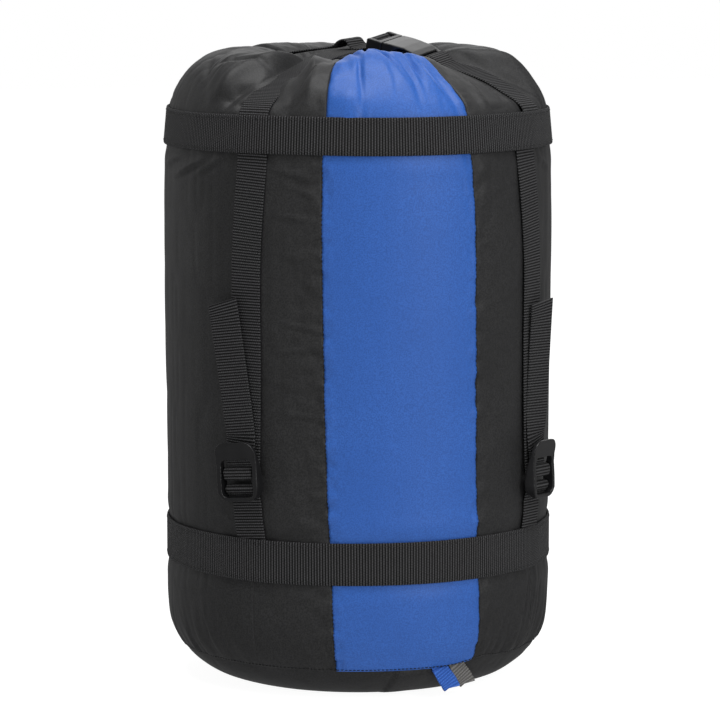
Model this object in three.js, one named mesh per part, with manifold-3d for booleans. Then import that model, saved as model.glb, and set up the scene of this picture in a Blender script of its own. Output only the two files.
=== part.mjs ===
// Compression sack, packed full and standing on its base.
// Millimetres, +Z up. The origin is the centre of the base, on the floor. The blue panel faces -Y.
// Angles round the sack are in degrees from -Y, growing towards +X.
import * as THREE from 'three';
import { mergeVertices } from 'three/addons/utils/BufferGeometryUtils.js';
import Module from 'manifold-3d';

const wasm = await Module();
wasm.setup();

// ---- driving dimensions ----
const CLEARANCE = 0.3;
const CLOTH = 0.8;
const WEB = 1.2;
const STRAP_WIDTH = 20;
const BAND_THICKNESS = 1.5;
const BASE_FLAT_RADIUS = 70.5;
const BASE_CORNER = 45.5;
const BASE_SEAM_ANGLE = 52.3;
const LOWER_BAND_BOTTOM = 71.5;
const LOWER_BAND_TOP = 96.5;
const LOWER_BAND_RADIUS = 114.8;
const UPPER_BAND_BOTTOM = 321.5;
const UPPER_BAND_TOP = 343.5;
const UPPER_BAND_RADIUS_BOTTOM = 115.6;
const UPPER_BAND_RADIUS_TOP = 113.4;
const TOP_SEAM_Z = 331.7;
const PANEL_CENTRE = -2.7;
const PANEL_HALF = 22;
const STRAP_ANGLE = 47.4;
const STRAP_RADIUS = 117.3;
const LOCK_RADIUS = 120.4;
const LOCK_HALF_WIDTH = 14.4;
const LOCK_BOTTOM = -7.2;
const LOCK_TOP = 27.4;
const MIDDLE_BAR_RISE = 9.3;
const LOCK_WINDOW = 11.2;
const LOCK_WINDOW_BOTTOM = -4.8;
const LOCK_WINDOW_TOP = 17;
const TAIL_OUTWARD = 2;
const TAIL_LENGTH = 94;
const BUCKLE_OUT = 22.7;
const BUCKLE_Z = 380;
const BUCKLE_SLOPE = 15.5;
const BUCKLE_ROLL = 7;
const BUCKLE_HALF_WIDTH = 13.5;
const BUCKLE_WEB_HALF = 10.7;
const MALE_BAR_X = -9.1;
const CORD_RADIUS = 1.1;
const HEM_CORD_RADIUS = 12.2;
const HEM_CORD_Z = 362.5;
const CORD_LOCK_Y = 31;
const CORD_LOCK_Z = 368.6;
const CORD_LOCK_RADIUS = 6.2;

// Each strap: its angle on the top, at the upper ring and at its lock, how high the lock's lower bar is, and
// how far the lock and its tail lean sideways.
const STRAPS = [
  { name: 'front_left', angle: -STRAP_ANGLE, ringAngle: -47.2, lockAngle: -49.6, lockZ: 126.3, lean: 6 },
  { name: 'front_right', angle: STRAP_ANGLE, ringAngle: 44.4, lockAngle: 47, lockZ: 121.3, lean: -3 },
  { name: 'back_right', angle: 180 - STRAP_ANGLE, ringAngle: 133.4, lockAngle: 131.8, lockZ: 125, lean: 2 },
  { name: 'back_left', angle: 180 + STRAP_ANGLE, ringAngle: 228.8, lockAngle: 226.2, lockZ: 123.5, lean: -2.5 },
];

const rad = THREE.MathUtils.degToRad;
const sack = new THREE.Group();

// ---- finishes ----
function finish(color, roughness, metalness = 0) {
  return new THREE.MeshStandardMaterial({ color, roughness, metalness });
}

function blackCloth() {
  return finish(0x303134, 0.7);
}

function blueCloth() {
  return finish(0x3d6cc0, 0.65);
}

function blackWebbing() {
  return finish(0x2a2a2c, 0.85);
}

function blackPlastic() {
  return finish(0x1f2022, 0.4);
}

// ---- solids ----
// A point at radius r and height z, in the upright plane at an angle round the sack.
function around(degrees, r, z) {
  const a = rad(degrees);
  return new THREE.Vector3(r * Math.sin(a), -r * Math.cos(a), z);
}

function signedVolume(points, faces) {
  let total = 0;
  for (const [a, b, c] of faces) {
    total += points[a].dot(new THREE.Vector3().crossVectors(points[b], points[c])) / 6;
  }
  return total;
}

// Triangles that cover one flat outline, as indices into it.
function capTriangles(outline) {
  const normal = new THREE.Vector3();
  const middle = new THREE.Vector3();
  for (const p of outline) middle.addScaledVector(p, 1 / outline.length);
  outline.forEach((p, i) => {
    const next = outline[(i + 1) % outline.length];
    const edge = new THREE.Vector3().subVectors(next, middle);
    normal.add(new THREE.Vector3().subVectors(p, middle).cross(edge));
  });
  normal.normalize();
  const side = new THREE.Vector3().subVectors(outline[0], middle);
  side.addScaledVector(normal, -side.dot(normal)).normalize();
  const up = new THREE.Vector3().crossVectors(normal, side);
  const flat = outline.map((p) => {
    const d = new THREE.Vector3().subVectors(p, middle);
    return new THREE.Vector2(d.dot(side), d.dot(up));
  });
  return THREE.ShapeUtils.triangulateShape(flat, []);
}

// A closed solid through a row of outlines with equal counts of points.
function loft(outlines, ring = false) {
  const points = outlines.flat();
  const n = outlines[0].length;
  const faces = [];
  const spans = ring ? outlines.length : outlines.length - 1;
  for (let s = 0; s < spans; s++) {
    const a = s * n;
    const b = ((s + 1) % outlines.length) * n;
    for (let i = 0; i < n; i++) {
      const j = (i + 1) % n;
      faces.push([a + i, a + j, b + j], [a + i, b + j, b + i]);
    }
  }
  if (!ring) {
    const last = (outlines.length - 1) * n;
    for (const [i, j, k] of capTriangles(outlines[0])) faces.push([i, k, j]);
    for (const [i, j, k] of capTriangles(outlines.at(-1))) faces.push([last + i, last + j, last + k]);
  }
  if (signedVolume(points, faces) < 0) faces.forEach((f) => f.reverse());
  const geometry = new THREE.BufferGeometry();
  const positions = new Float32Array(points.flatMap((p) => [p.x, p.y, p.z]));
  geometry.setAttribute('position', new THREE.BufferAttribute(positions, 3));
  geometry.setIndex(faces.flat());
  geometry.computeVertexNormals();
  return geometry;
}

// The outline of a sheet of cloth: its outer line [r, z], and the same line one thickness further in.
function clothOutline(outer, thickness) {
  const inner = outer.map(([r, z], i) => {
    const [r0, z0] = outer[Math.max(i - 1, 0)];
    const [r1, z1] = outer[Math.min(i + 1, outer.length - 1)];
    const length = Math.hypot(r1 - r0, z1 - z0);
    return [r - (thickness * (z1 - z0)) / length, z + (thickness * (r1 - r0)) / length];
  });
  return [...outer, ...inner.reverse()];
}

// Cloth that goes round the sack from one angle to another. profileAt(angle) gives its outer line.
function clothSector(from, to, profileAt, step = 7) {
  const steps = Math.ceil((to - from) / step);
  const outlines = [];
  for (let s = 0; s <= steps; s++) {
    const angle = from + ((to - from) * s) / steps;
    outlines.push(clothOutline(profileAt(angle), CLOTH).map(([r, z]) => around(angle, r, z)));
  }
  return loft(outlines);
}

// A full ring of the outline [r, z].
function ring(outline, steps = 72) {
  const outlines = [];
  for (let s = 0; s < steps; s++) {
    outlines.push(outline.map(([r, z]) => around((360 * s) / steps, r, z)));
  }
  return loft(outlines, true);
}

// A solid turned about the sack's axis, from a profile [r, z] that starts and ends on it.
function turned(profile, steps = 60) {
  const lathe = new THREE.LatheGeometry(profile.map(([r, z]) => new THREE.Vector2(r, z)), steps);
  lathe.rotateX(Math.PI / 2);
  return lathe;
}

// Webbing along a smooth route. Each point is { at, across }: its middle, and the way its width runs.
function webbing(route, steps, width = STRAP_WIDTH) {
  const curve = new THREE.CatmullRomCurve3(route.map((p) => p.at), false, 'centripetal');
  const outlines = [];
  for (let s = 0; s <= steps; s++) {
    const t = s / steps;
    const at = curve.getPoint(t);
    const tangent = curve.getTangent(t);
    const place = t * (route.length - 1);
    const k = Math.min(Math.floor(place), route.length - 2);
    const across = new THREE.Vector3().lerpVectors(route[k].across, route[k + 1].across, place - k);
    across.addScaledVector(tangent, -across.dot(tangent)).normalize();
    const out = new THREE.Vector3().crossVectors(tangent, across);
    const corner = (a, b) => at.clone().addScaledVector(across, (a * width) / 2).addScaledVector(out, (b * WEB) / 2);
    outlines.push([corner(-1, -1), corner(1, -1), corner(1, 1), corner(-1, 1)]);
  }
  return loft(outlines);
}

// A flat outline [a, b] drawn in the plane of two directions, and thickened both ways across them.
function slab(outline, half, alongA, alongB) {
  const across = new THREE.Vector3().crossVectors(alongA, alongB);
  const face = (side) => outline.map(([a, b]) => {
    const p = alongA.clone().multiplyScalar(a);
    return p.addScaledVector(alongB, b).addScaledVector(across, side * half);
  });
  return loft([face(-1), face(1)]);
}

const X = new THREE.Vector3(1, 0, 0);
const Y = new THREE.Vector3(0, 1, 0);
const Z = new THREE.Vector3(0, 0, 1);

function block(x0, x1, y0, y1, z0, z1) {
  const box = new THREE.BoxGeometry(x1 - x0, y1 - y0, z1 - z0);
  return box.translate((x0 + x1) / 2, (y0 + y1) / 2, (z0 + z1) / 2);
}

// A round bar along X.
function barAlongX(radius, halfLength, y, z, sides = 16) {
  const bar = new THREE.CylinderGeometry(radius, radius, 2 * halfLength, sides);
  return bar.rotateZ(Math.PI / 2).translate(0, y, z);
}

// A rectangle from [x0, z0] to [x1, z1] with its corners cut on a quarter round.
function roundedOutline(x0, x1, z0, z1, radius, steps = 3) {
  const outline = [];
  const corners = [[x1, z1, 0], [x0, z1, 90], [x0, z0, 180], [x1, z0, 270]];
  for (const [x, z, start] of corners) {
    const cx = x - Math.sign(x - (x0 + x1) / 2) * radius;
    const cz = z - Math.sign(z - (z0 + z1) / 2) * radius;
    for (let s = 0; s <= steps; s++) {
      const a = rad(start + (90 * s) / steps);
      outline.push([cx + radius * Math.cos(a), cz + radius * Math.sin(a)]);
    }
  }
  return outline;
}

// ---- joining and cutting ----
function toManifold(geometry) {
  const bare = new THREE.BufferGeometry();
  bare.setAttribute('position', geometry.getAttribute('position').clone());
  if (geometry.index) bare.setIndex(geometry.index.clone());
  const merged = mergeVertices(bare, 1e-4);
  const vertProperties = new Float32Array(merged.getAttribute('position').array);
  const triVerts = new Uint32Array(merged.index.array);
  return new wasm.Manifold(new wasm.Mesh({ numProp: 3, vertProperties, triVerts }));
}

function fromManifold(solid) {
  const mesh = solid.getMesh();
  const geometry = new THREE.BufferGeometry();
  geometry.setAttribute('position', new THREE.BufferAttribute(new Float32Array(mesh.vertProperties), 3));
  geometry.setIndex(Array.from(mesh.triVerts));
  geometry.computeVertexNormals();
  return geometry;
}

function joined(...pieces) {
  return pieces.map(toManifold).reduce((whole, piece) => whole.add(piece));
}

function cut(solid, ...tools) {
  return tools.map(toManifold).reduce((left, tool) => left.subtract(tool), solid);
}

// ---- assembly ----
function add(name, geometry, material, parent = sack) {
  const mesh = new THREE.Mesh(geometry, material);
  mesh.name = name;
  parent.add(mesh);
  return mesh;
}

// ---- base and walls ----
function baseCorner(degrees, inward = 0) {
  const a = rad(degrees);
  const reach = BASE_CORNER - inward;
  return [BASE_FLAT_RADIUS + reach * Math.sin(a), BASE_CORNER - reach * Math.cos(a)];
}

function makeBase() {
  const stops = [0, 13, 26, 39, BASE_SEAM_ANGLE];
  const outer = stops.map((a) => baseCorner(a));
  const inner = stops.map((a) => baseCorner(a, CLOTH)).reverse();
  add('base_panel', turned([[0, 0], ...outer, ...inner, [0, CLOTH]]), blackCloth());
}

// The walls: out of the base corner, held in by the lower band, full above it, in again at the top.
function wallProfile() {
  const corner = [BASE_SEAM_ANGLE + 0.5, 62, 73].map((a) => baseCorner(a));
  return [
    ...corner,
    [115.6, 48],
    [114.4, LOWER_BAND_BOTTOM - 1],
    [114.4, LOWER_BAND_TOP + 2],
    [115.4, 165],
    [116.3, 220],
    [116.3, 290],
    [114.6, UPPER_BAND_BOTTOM],
    [113.9, TOP_SEAM_Z],
  ];
}

function makeWalls() {
  const gap = 0.1;
  const left = PANEL_CENTRE - PANEL_HALF;
  const right = PANEL_CENTRE + PANEL_HALF;
  const wall = (name, from, to, material) => {
    add(name, clothSector(from + gap, to - gap, wallProfile), material);
  };
  wall('front_panel', left, right, blueCloth());
  wall('left_panel', -STRAP_ANGLE, left, blackCloth());
  wall('right_panel', right, STRAP_ANGLE, blackCloth());
  wall('back_panel', STRAP_ANGLE, 360 - STRAP_ANGLE, blackCloth());
}

function makeFilling() {
  const corner = [0, 15, 30, 45, 60, 75, 90].map((degrees) => {
    const a = rad(degrees);
    return [BASE_FLAT_RADIUS + 42 * Math.sin(a), 45 - 43.2 * Math.cos(a)];
  });
  const top = [[112.2, 322], [109, 340], [100, 348.5], [84, 355], [62, 358.5], [40, 356.5], [20, 353]];
  add('packed_filling', turned([[0, 1.8], ...corner, ...top, [0, 352.5]], 48), finish(0x8a8c90, 0.9));
}

// ---- webbing rings ----
function makeBands() {
  const lower = LOWER_BAND_RADIUS;
  add('lower_band', ring([
    [lower, LOWER_BAND_BOTTOM],
    [lower + BAND_THICKNESS, LOWER_BAND_BOTTOM],
    [lower + BAND_THICKNESS, LOWER_BAND_TOP],
    [lower, LOWER_BAND_TOP],
  ]), blackWebbing());
  add('upper_band', ring([
    [UPPER_BAND_RADIUS_BOTTOM, UPPER_BAND_BOTTOM],
    [UPPER_BAND_RADIUS_BOTTOM + BAND_THICKNESS, UPPER_BAND_BOTTOM],
    [UPPER_BAND_RADIUS_TOP + BAND_THICKNESS, UPPER_BAND_TOP],
    [UPPER_BAND_RADIUS_TOP, UPPER_BAND_TOP],
  ]), blackWebbing());
}

// ---- domed top ----
// Along a radius the cloth puffs up between the straps (crest) and is drawn down under each one (valley).
const TOP_LINE = [
  { r: 113.9, crest: TOP_SEAM_Z + CLEARANCE, valley: TOP_SEAM_Z + CLEARANCE },
  { r: 112.9, crest: 343.8, valley: 343.8 },
  { r: 109, crest: 352.5, valley: 347.4 },
  { r: 104.5, crest: 359, valley: 349.8 },
  { r: 98, crest: 366, valley: 353.2 },
  { r: 89, crest: 371.5, valley: 357.2 },
  { r: 78, crest: 374.8, valley: 360.6 },
  { r: 66, crest: 376, valley: 363 },
  { r: 54, crest: 373, valley: 364.5 },
  { r: 44, crest: 366.5, valley: 364 },
  { r: 34, crest: 361.6, valley: 361.6 },
  { r: 18.4, crest: 358, valley: 358 },
];
const VALLEY_FLAT = 16;
const VALLEY_EDGE = 32;

function topProfile(angle) {
  return TOP_LINE.map(({ r, crest, valley }) => {
    let depth = 0;
    for (const strap of STRAPS) {
      const turn = rad(angle - strap.angle);
      if (Math.cos(turn) < 0) continue;
      const sideways = Math.abs(r * Math.sin(turn));
      depth = Math.max(depth, 1 - THREE.MathUtils.smoothstep(sideways, VALLEY_FLAT, VALLEY_EDGE));
    }
    return [r, crest + (valley - crest) * depth];
  });
}

function makeTop() {
  const gap = 0.12;
  const left = PANEL_CENTRE - PANEL_HALF;
  const right = PANEL_CENTRE + PANEL_HALF;
  add('top_blue_gore', clothSector(left + gap, right - gap, topProfile), blueCloth());
  add('top_black_cloth', clothSector(right + gap, 360 + left - gap, topProfile), blackCloth());
}

// ---- mouth ----
const HEM_GAP = 20;

function makeHem() {
  const wall = 1.3;
  const [inside, outside, bottom, top] = [7.2, 17.6, 358.4, 367];
  const section = [
    [outside - wall, bottom],
    [outside, bottom],
    [outside, top],
    [inside, top],
    [inside, bottom],
    [inside + wall, bottom],
    [inside + wall, top - wall],
    [outside - wall, top - wall],
  ];
  const outlines = [];
  const steps = 32;
  for (let s = 0; s <= steps; s++) {
    const angle = -180 + HEM_GAP + ((360 - 2 * HEM_GAP) * s) / steps;
    outlines.push(section.map(([r, z]) => around(angle, r, z)));
  }
  add('mouth_hem', loft(outlines), blackCloth());
}

// The drawcord: round the hem, out at the back and through the cord lock, with a stopper knot on each end.
const CORD_LEG_X = 1.35;
const CORD_END_Y = 40;

function makeDrawcord() {
  const leg = (side) => [
    new THREE.Vector3(side * CORD_LEG_X, CORD_END_Y, CORD_LOCK_Z),
    new THREE.Vector3(side * CORD_LEG_X, 34, CORD_LOCK_Z),
    new THREE.Vector3(side * CORD_LEG_X, 25, CORD_LOCK_Z),
    new THREE.Vector3(side * 1.6, 20.5, 366.2),
  ];
  const loop = [];
  for (let angle = -165; angle <= 165; angle += 30) {
    loop.push(around(angle, HEM_CORD_RADIUS, HEM_CORD_Z));
  }
  const route = [...leg(-1), ...loop, ...leg(1).reverse()];
  const path = new THREE.CatmullRomCurve3(route, false, 'centripetal');
  const section = new THREE.Shape();
  section.absarc(0, 0, CORD_RADIUS, 0, 2 * Math.PI, false);
  const tube = new THREE.ExtrudeGeometry(section, {
    steps: 56,
    curveSegments: 4,
    bevelEnabled: false,
    extrudePath: path,
  });
  const knot = (side) => {
    const ball = new THREE.IcosahedronGeometry(2, 1);
    return ball.translate(side * (CORD_LEG_X + 1), CORD_END_Y + 0.5 + side, CORD_LOCK_Z);
  };
  add('drawcord', fromManifold(joined(tube, knot(-1), knot(1))), finish(0x242527, 0.7));
}

// The cord lock lies on its side behind the mouth, barrel along X. Its plunger presses in along -X.
const PLUNGER_RADIUS = 4;
const PLUNGER_TRAVEL = 4;

function makeCordLock() {
  const lock = new THREE.Group();
  lock.position.set(0, CORD_LOCK_Y, CORD_LOCK_Z);
  sack.add(lock);
  const hole = 2.8;
  const turnedBarrel = (radius, endRadius, from, to) => {
    const barrel = new THREE.CylinderGeometry(radius, endRadius, to - from, 20).rotateZ(-Math.PI / 2);
    return barrel.translate((from + to) / 2, 0, 0);
  };
  const barrel = turnedBarrel(CORD_LOCK_RADIUS, CORD_LOCK_RADIUS - 1, -12, 8.5);
  const cavity = turnedBarrel(4.35, 4.35, -10.5, 9);
  const window = block(-hole, hole, -8, 8, -1.6, 1.6);
  add('cord_lock_barrel', fromManifold(cut(toManifold(barrel), cavity, window)), blackPlastic(), lock);
  const stem = turnedBarrel(PLUNGER_RADIUS, PLUNGER_RADIUS, -4.6, 13);
  const slot = block(-hole, hole + PLUNGER_TRAVEL, -8, 8, -1.6, 1.6);
  // The cord hole is longer than the cords by the travel, so the pinch opens as the plunger goes in.
  add('cord_lock_plunger', fromManifold(cut(toManifold(stem), slot)), blackPlastic(), lock);
  const turns = 2.5;
  const coil = [];
  for (let s = 0; s <= 30; s++) {
    const a = (2 * Math.PI * turns * s) / 30;
    coil.push(new THREE.Vector3(-10 + (4.8 * s) / 30, 2.6 * Math.cos(a), 2.6 * Math.sin(a)));
  }
  const wire = new THREE.Shape();
  wire.absarc(0, 0, 0.3, 0, 2 * Math.PI, false);
  const spring = new THREE.ExtrudeGeometry(wire, {
    steps: 36,
    curveSegments: 3,
    bevelEnabled: false,
    extrudePath: new THREE.CatmullRomCurve3(coil),
  });
  add('cord_lock_spring', spring, finish(0xb8bcc0, 0.3, 1), lock);
}

// ---- compression straps ----
// A point of a strap's own upright plane: r out from the axis, z up, with its width running round the sack.
function strapStation(angle, r, z) {
  return { at: around(angle, r, z), across: around(angle + 90, 1, 0) };
}

function makeMainStrap(strap) {
  const low = strapStation(strap.lockAngle, STRAP_RADIUS, strap.lockZ + MIDDLE_BAR_RISE);
  const high = strapStation(strap.ringAngle, STRAP_RADIUS, UPPER_BAND_BOTTOM - 2 * CLEARANCE);
  add(`main_strap_${strap.name}`, webbing([low, high], 6), blackWebbing());
}

// A group at a lock's lower bar: local X along the bar, Y out of the sack, Z up, leaning about Y.
function lockGroup(strap) {
  const place = new THREE.Group();
  place.position.copy(around(strap.lockAngle, LOCK_RADIUS, strap.lockZ));
  place.rotation.z = rad(strap.lockAngle + 180);
  const leaning = new THREE.Group();
  leaning.rotation.y = rad(strap.lean);
  place.add(leaning);
  sack.add(place);
  return leaning;
}

// Webbing in a lock's own frame, through points [y, z].
function lockWebbing(points, steps) {
  return webbing(points.map(([y, z]) => ({ at: new THREE.Vector3(0, y, z), across: X })), steps);
}

function makeLadderLock(strap, group) {
  const side = [
    [1.6, LOCK_BOTTOM],
    [4.2, LOCK_BOTTOM],
    [4.9, -2],
    [4.6, 5],
    [3.9, 13],
    [4.2, 19],
    [5.8, LOCK_TOP],
    [3.4, LOCK_TOP],
    [1.6, 19.4],
    [-0.8, 12],
    [-1.9, 4],
    [-1.9, -2],
  ];
  const depth = 10;
  const outline = roundedOutline(-LOCK_HALF_WIDTH, LOCK_HALF_WIDTH, LOCK_BOTTOM, LOCK_TOP, 7, 5);
  const opening = roundedOutline(-LOCK_WINDOW, LOCK_WINDOW, LOCK_WINDOW_BOTTOM, LOCK_WINDOW_TOP, 3.2, 4);
  const plate = toManifold(slab(side, LOCK_HALF_WIDTH, Y, Z)).intersect(toManifold(slab(outline, depth, X, Z)));
  const frame = cut(plate, slab(opening, depth, X, Z));
  const lowerBar = barAlongX(1.3, LOCK_WINDOW + 1, 0, 0, 12);
  const barOutline = [[-0.4, 7.4], [0, 6.9], [1.2, 6.9], [1.7, 7.4], [1.7, 10.6], [1.2, 11.1], [0, 11.1], [-0.4, 10.6]];
  const middleBar = slab(barOutline, LOCK_WINDOW + 1, Y, Z);
  const whole = frame.add(joined(lowerBar, middleBar));
  add(`ladder_lock_${strap.name}`, fromManifold(whole), blackPlastic(), group);
}

function makeAnchorWeb(strap, group) {
  const bottom = LOWER_BAND_TOP + CLEARANCE + (STRAP_WIDTH / 2) * Math.sin(rad(Math.abs(strap.lean))) + 0.2;
  const [r, z] = [LOCK_RADIUS, strap.lockZ];
  const loop = 2.3;
  const points = [
    [115.7 - r, bottom - z],
    [115.8 - r, 105 - z],
    [116.4 - r, -9.5],
    [-2.9, -3.8],
    [-loop, 0],
    [-loop * 0.7, loop * 0.7],
    [0, loop],
    [loop * 0.7, loop * 0.7],
    [loop, 0],
    [loop * 0.7, -loop * 0.7],
    [0, -loop],
  ];
  add(`anchor_web_${strap.name}`, lockWebbing(points, 26), blackWebbing(), group);
}

function makeAdjusterLoop(strap, group) {
  const points = [
    [-2.6, 6.9],
    [-1.6, 6],
    [0.8, 5.8],
    [2.3, 6.3],
    [2.9, 7.6],
    [2.9, 10.4],
    [2.2, 11.7],
    [0.8, 12.3],
    [-0.8, 13.2],
    [-1.2, 15.2],
  ];
  add(`adjuster_loop_${strap.name}`, lockWebbing(points, 18), blackWebbing(), group);
}

function makeTail(strap, group) {
  const rise = rad(TAIL_OUTWARD);
  const start = [-1.2, 15.6];
  const end = [start[0] + TAIL_LENGTH * Math.sin(rise), start[1] + TAIL_LENGTH * Math.cos(rise)];
  add(`strap_tail_${strap.name}`, lockWebbing([start, end], 1), blackWebbing(), group);
}

// ---- straps over the top, and the side-release buckle ----
// The buckle's frame: X towards its female end, down the front right strap; Y across it, away from the
// front; Z out of its top face. It slopes down along X, and its Y side is the higher one.
const buckleOut = around(STRAP_ANGLE, 1, 0);
const buckleAcross = new THREE.Vector3().crossVectors(Z, buckleOut);
const buckleX = buckleOut.clone().applyAxisAngle(buckleAcross, rad(BUCKLE_SLOPE));
const buckleY = buckleAcross.clone().applyAxisAngle(buckleX, rad(BUCKLE_ROLL));
const buckleZ = new THREE.Vector3().crossVectors(buckleX, buckleY);
const buckleOrigin = around(STRAP_ANGLE, BUCKLE_OUT, BUCKLE_Z);

function buckleStation(x, z) {
  const at = buckleOrigin.clone().addScaledVector(buckleX, x).addScaledVector(buckleZ, z);
  return { at, across: buckleY };
}

// A point of the buckle's strap, at a distance out from the mouth towards the front right.
function topStation(out, z) {
  return { at: around(STRAP_ANGLE, out, z), across: buckleAcross };
}

function makeCrossStrap() {
  const half = [[114.3, 344.4], [109, 349.4], [99, 355.6], [85, 361.4], [67, 367.6], [52, 371.6], [30, 375], [12, 376.2]];
  const station = (side) => ([r, z]) => {
    return { at: around(-STRAP_ANGLE, side * r, z), across: around(90 - STRAP_ANGLE, 1, 0) };
  };
  const route = [...half.map(station(1)), ...half.map(station(-1)).reverse()];
  add('cross_strap', webbing(route, 40), blackWebbing());
}

function makeBackLeftTopStrap() {
  const climb = [[-114.3, 344.4], [-109, 349.6], [-99, 356], [-85, 362], [-67, 368.4], [-48, 373.2], [-28, 376.4]];
  const hump = [[-16, 377.9], [-11.5, 379.2], [-9, 381.6], [-6, 383], [-3, 382.6], [-1.2, 380.4], [1, 378.6], [6, 378.3]];
  const loop = 2.5;
  const roundBar = [-90, -45, 0, 45, 90, 130].map((degrees) => {
    const a = rad(degrees);
    return buckleStation(MALE_BAR_X + loop * Math.cos(a), loop * Math.sin(a));
  });
  const route = [...climb, ...hump].map(([out, z]) => topStation(out, z));
  add('top_strap_back_left', webbing([...route, ...roundBar], 64), blackWebbing());
}

function makeFrontRightTopStrap() {
  const roundBar = [[39, -1.4], [35.6, -2.3], [31.5, -2.7], [28.4, -2.4], [27.4, -0.6], [27.5, 1.6], [28.4, 2.9], [30, 3.2], [33, 2.9]];
  const run = [[36, 1.9], [40, 0.5]];
  const fall = [[76, 366.6], [88, 362], [99, 356], [109, 349.4], [114.3, 344.4]];
  const route = [...roundBar, ...run].map(([x, z]) => buckleStation(x, z));
  add('top_strap_front_right', webbing([...route, ...fall.map(([r, z]) => topStation(r, z))], 52), blackWebbing());
}

function buckleGroup() {
  const group = new THREE.Group();
  group.position.copy(buckleOrigin);
  group.setRotationFromMatrix(new THREE.Matrix4().makeBasis(buckleX, buckleY, buckleZ));
  sack.add(group);
  return group;
}

function makeFemaleBuckle(group) {
  const half = BUCKLE_HALF_WIDTH;
  const plan = [
    [0, -half],
    [8, -half],
    [14, -half + 0.9],
    [20, -half],
    [31.4, -half + 0.5],
    [32.7, -half + 1.8],
  ];
  const mirrored = plan.map(([x, y]) => [x, -y]).reverse();
  const side = [
    [0, -3.8],
    [22, -3.6],
    [26, -2],
    [32.7, -1.7],
    [32.7, 1.7],
    [26, 2.2],
    [20, 3.9],
    [13, 4.5],
    [6, 4.3],
    [0, 3.8],
  ];
  const body = toManifold(slab([...plan, ...mirrored], 8, X, Y)).intersect(toManifold(slab(side, 16, X, Z)));
  const channel = block(-1, 21.5, -10.9, 10.9, -2.3, 2.3);
  const archWindow = [[8.5, -2.3], [19.5, -2.3], [19.5, 0.8], [17.5, 2.6], [14, 3.1], [10.5, 2.6], [8.5, 0.8]];
  const windows = slab(archWindow, 20, X, Z);
  const webSlot = block(24.4, 29, -BUCKLE_WEB_HALF, BUCKLE_WEB_HALF, -8, 8);
  add('buckle_female', fromManifold(cut(body, channel, windows, webSlot)), blackPlastic(), group);
}

function makeMaleBuckle(group) {
  const half = BUCKLE_HALF_WIDTH;
  const plan = roundedOutline(-11.1, 3, -half, half, 2);
  const side = [[-11.1, -2.6], [-9.5, -3.6], [-0.3, -3.7], [-0.3, 3.7], [-9.5, 3.6], [-11.1, 2.6]];
  const body = toManifold(slab(plan, 8, X, Y)).intersect(toManifold(slab(side, 16, X, Z)));
  const webPocket = block(-14, -3.4, -BUCKLE_WEB_HALF, BUCKLE_WEB_HALF, -8, 8);
  const bar = new THREE.CylinderGeometry(1.5, 1.5, 2 * half - 1, 12).translate(MALE_BAR_X, 0, 0);
  const tongue = block(-1, 17, -1.8, 1.8, -1.5, 1.5);
  const whole = cut(body, webPocket).add(joined(bar, tongue));
  add('buckle_male', fromManifold(whole), blackPlastic(), group);
}

// A latch arm: a slim spring leg with a thick head, whose outer side is what the fingers press.
function makeLatchArm(name, side, group) {
  const outline = [[0.2, 5.6], [12, 5.6], [19, 6.2], [20.6, 7.6], [19.8, 10.4], [12, 10.4], [9.5, 7.8], [0.2, 7.8]];
  const arm = slab(outline.map(([x, y]) => [x, side * y]), 1.9, X, Y);
  add(name, arm, blackPlastic(), group);
}

// ---- pull tabs in the base seam ----
function makeSeamTab(name, angle, material) {
  const width = 10;
  const drop = 10.5;
  const slant = 4;
  const top = baseCorner(BASE_SEAM_ANGLE);
  const row = (turn, r, z) => {
    const half = THREE.MathUtils.radToDeg(width / 2 / r);
    const at = (degrees, radius) => around(angle + turn + degrees, radius, z);
    return [at(-half, r), at(half, r), at(half, r + WEB), at(-half, r + WEB)];
  };
  const rows = [row(0, top[0] + 0.6, top[1] + 0.2), row(slant, top[0] + 1.6, top[1] - drop)];
  add(name, loft(rows), material);
}

makeBase();
makeWalls();
makeFilling();
makeBands();
makeTop();
makeHem();
makeDrawcord();
makeCordLock();
for (const strap of STRAPS) {
  makeMainStrap(strap);
  const group = lockGroup(strap);
  makeAnchorWeb(strap, group);
  makeLadderLock(strap, group);
  makeAdjusterLoop(strap, group);
  makeTail(strap, group);
}
makeCrossStrap();
makeBackLeftTopStrap();
makeFrontRightTopStrap();
const buckle = buckleGroup();
makeFemaleBuckle(buckle);
makeMaleBuckle(buckle);
makeLatchArm('latch_arm_near', -1, buckle);
makeLatchArm('latch_arm_far', 1, buckle);
makeSeamTab('pull_tab_blue', 10.4, blueCloth());
makeSeamTab('pull_tab_grey', 16.3, finish(0x6e6d6b, 0.8));

export default sack;
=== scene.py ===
from math import cos, hypot, pi, radians, sin, tan

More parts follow.
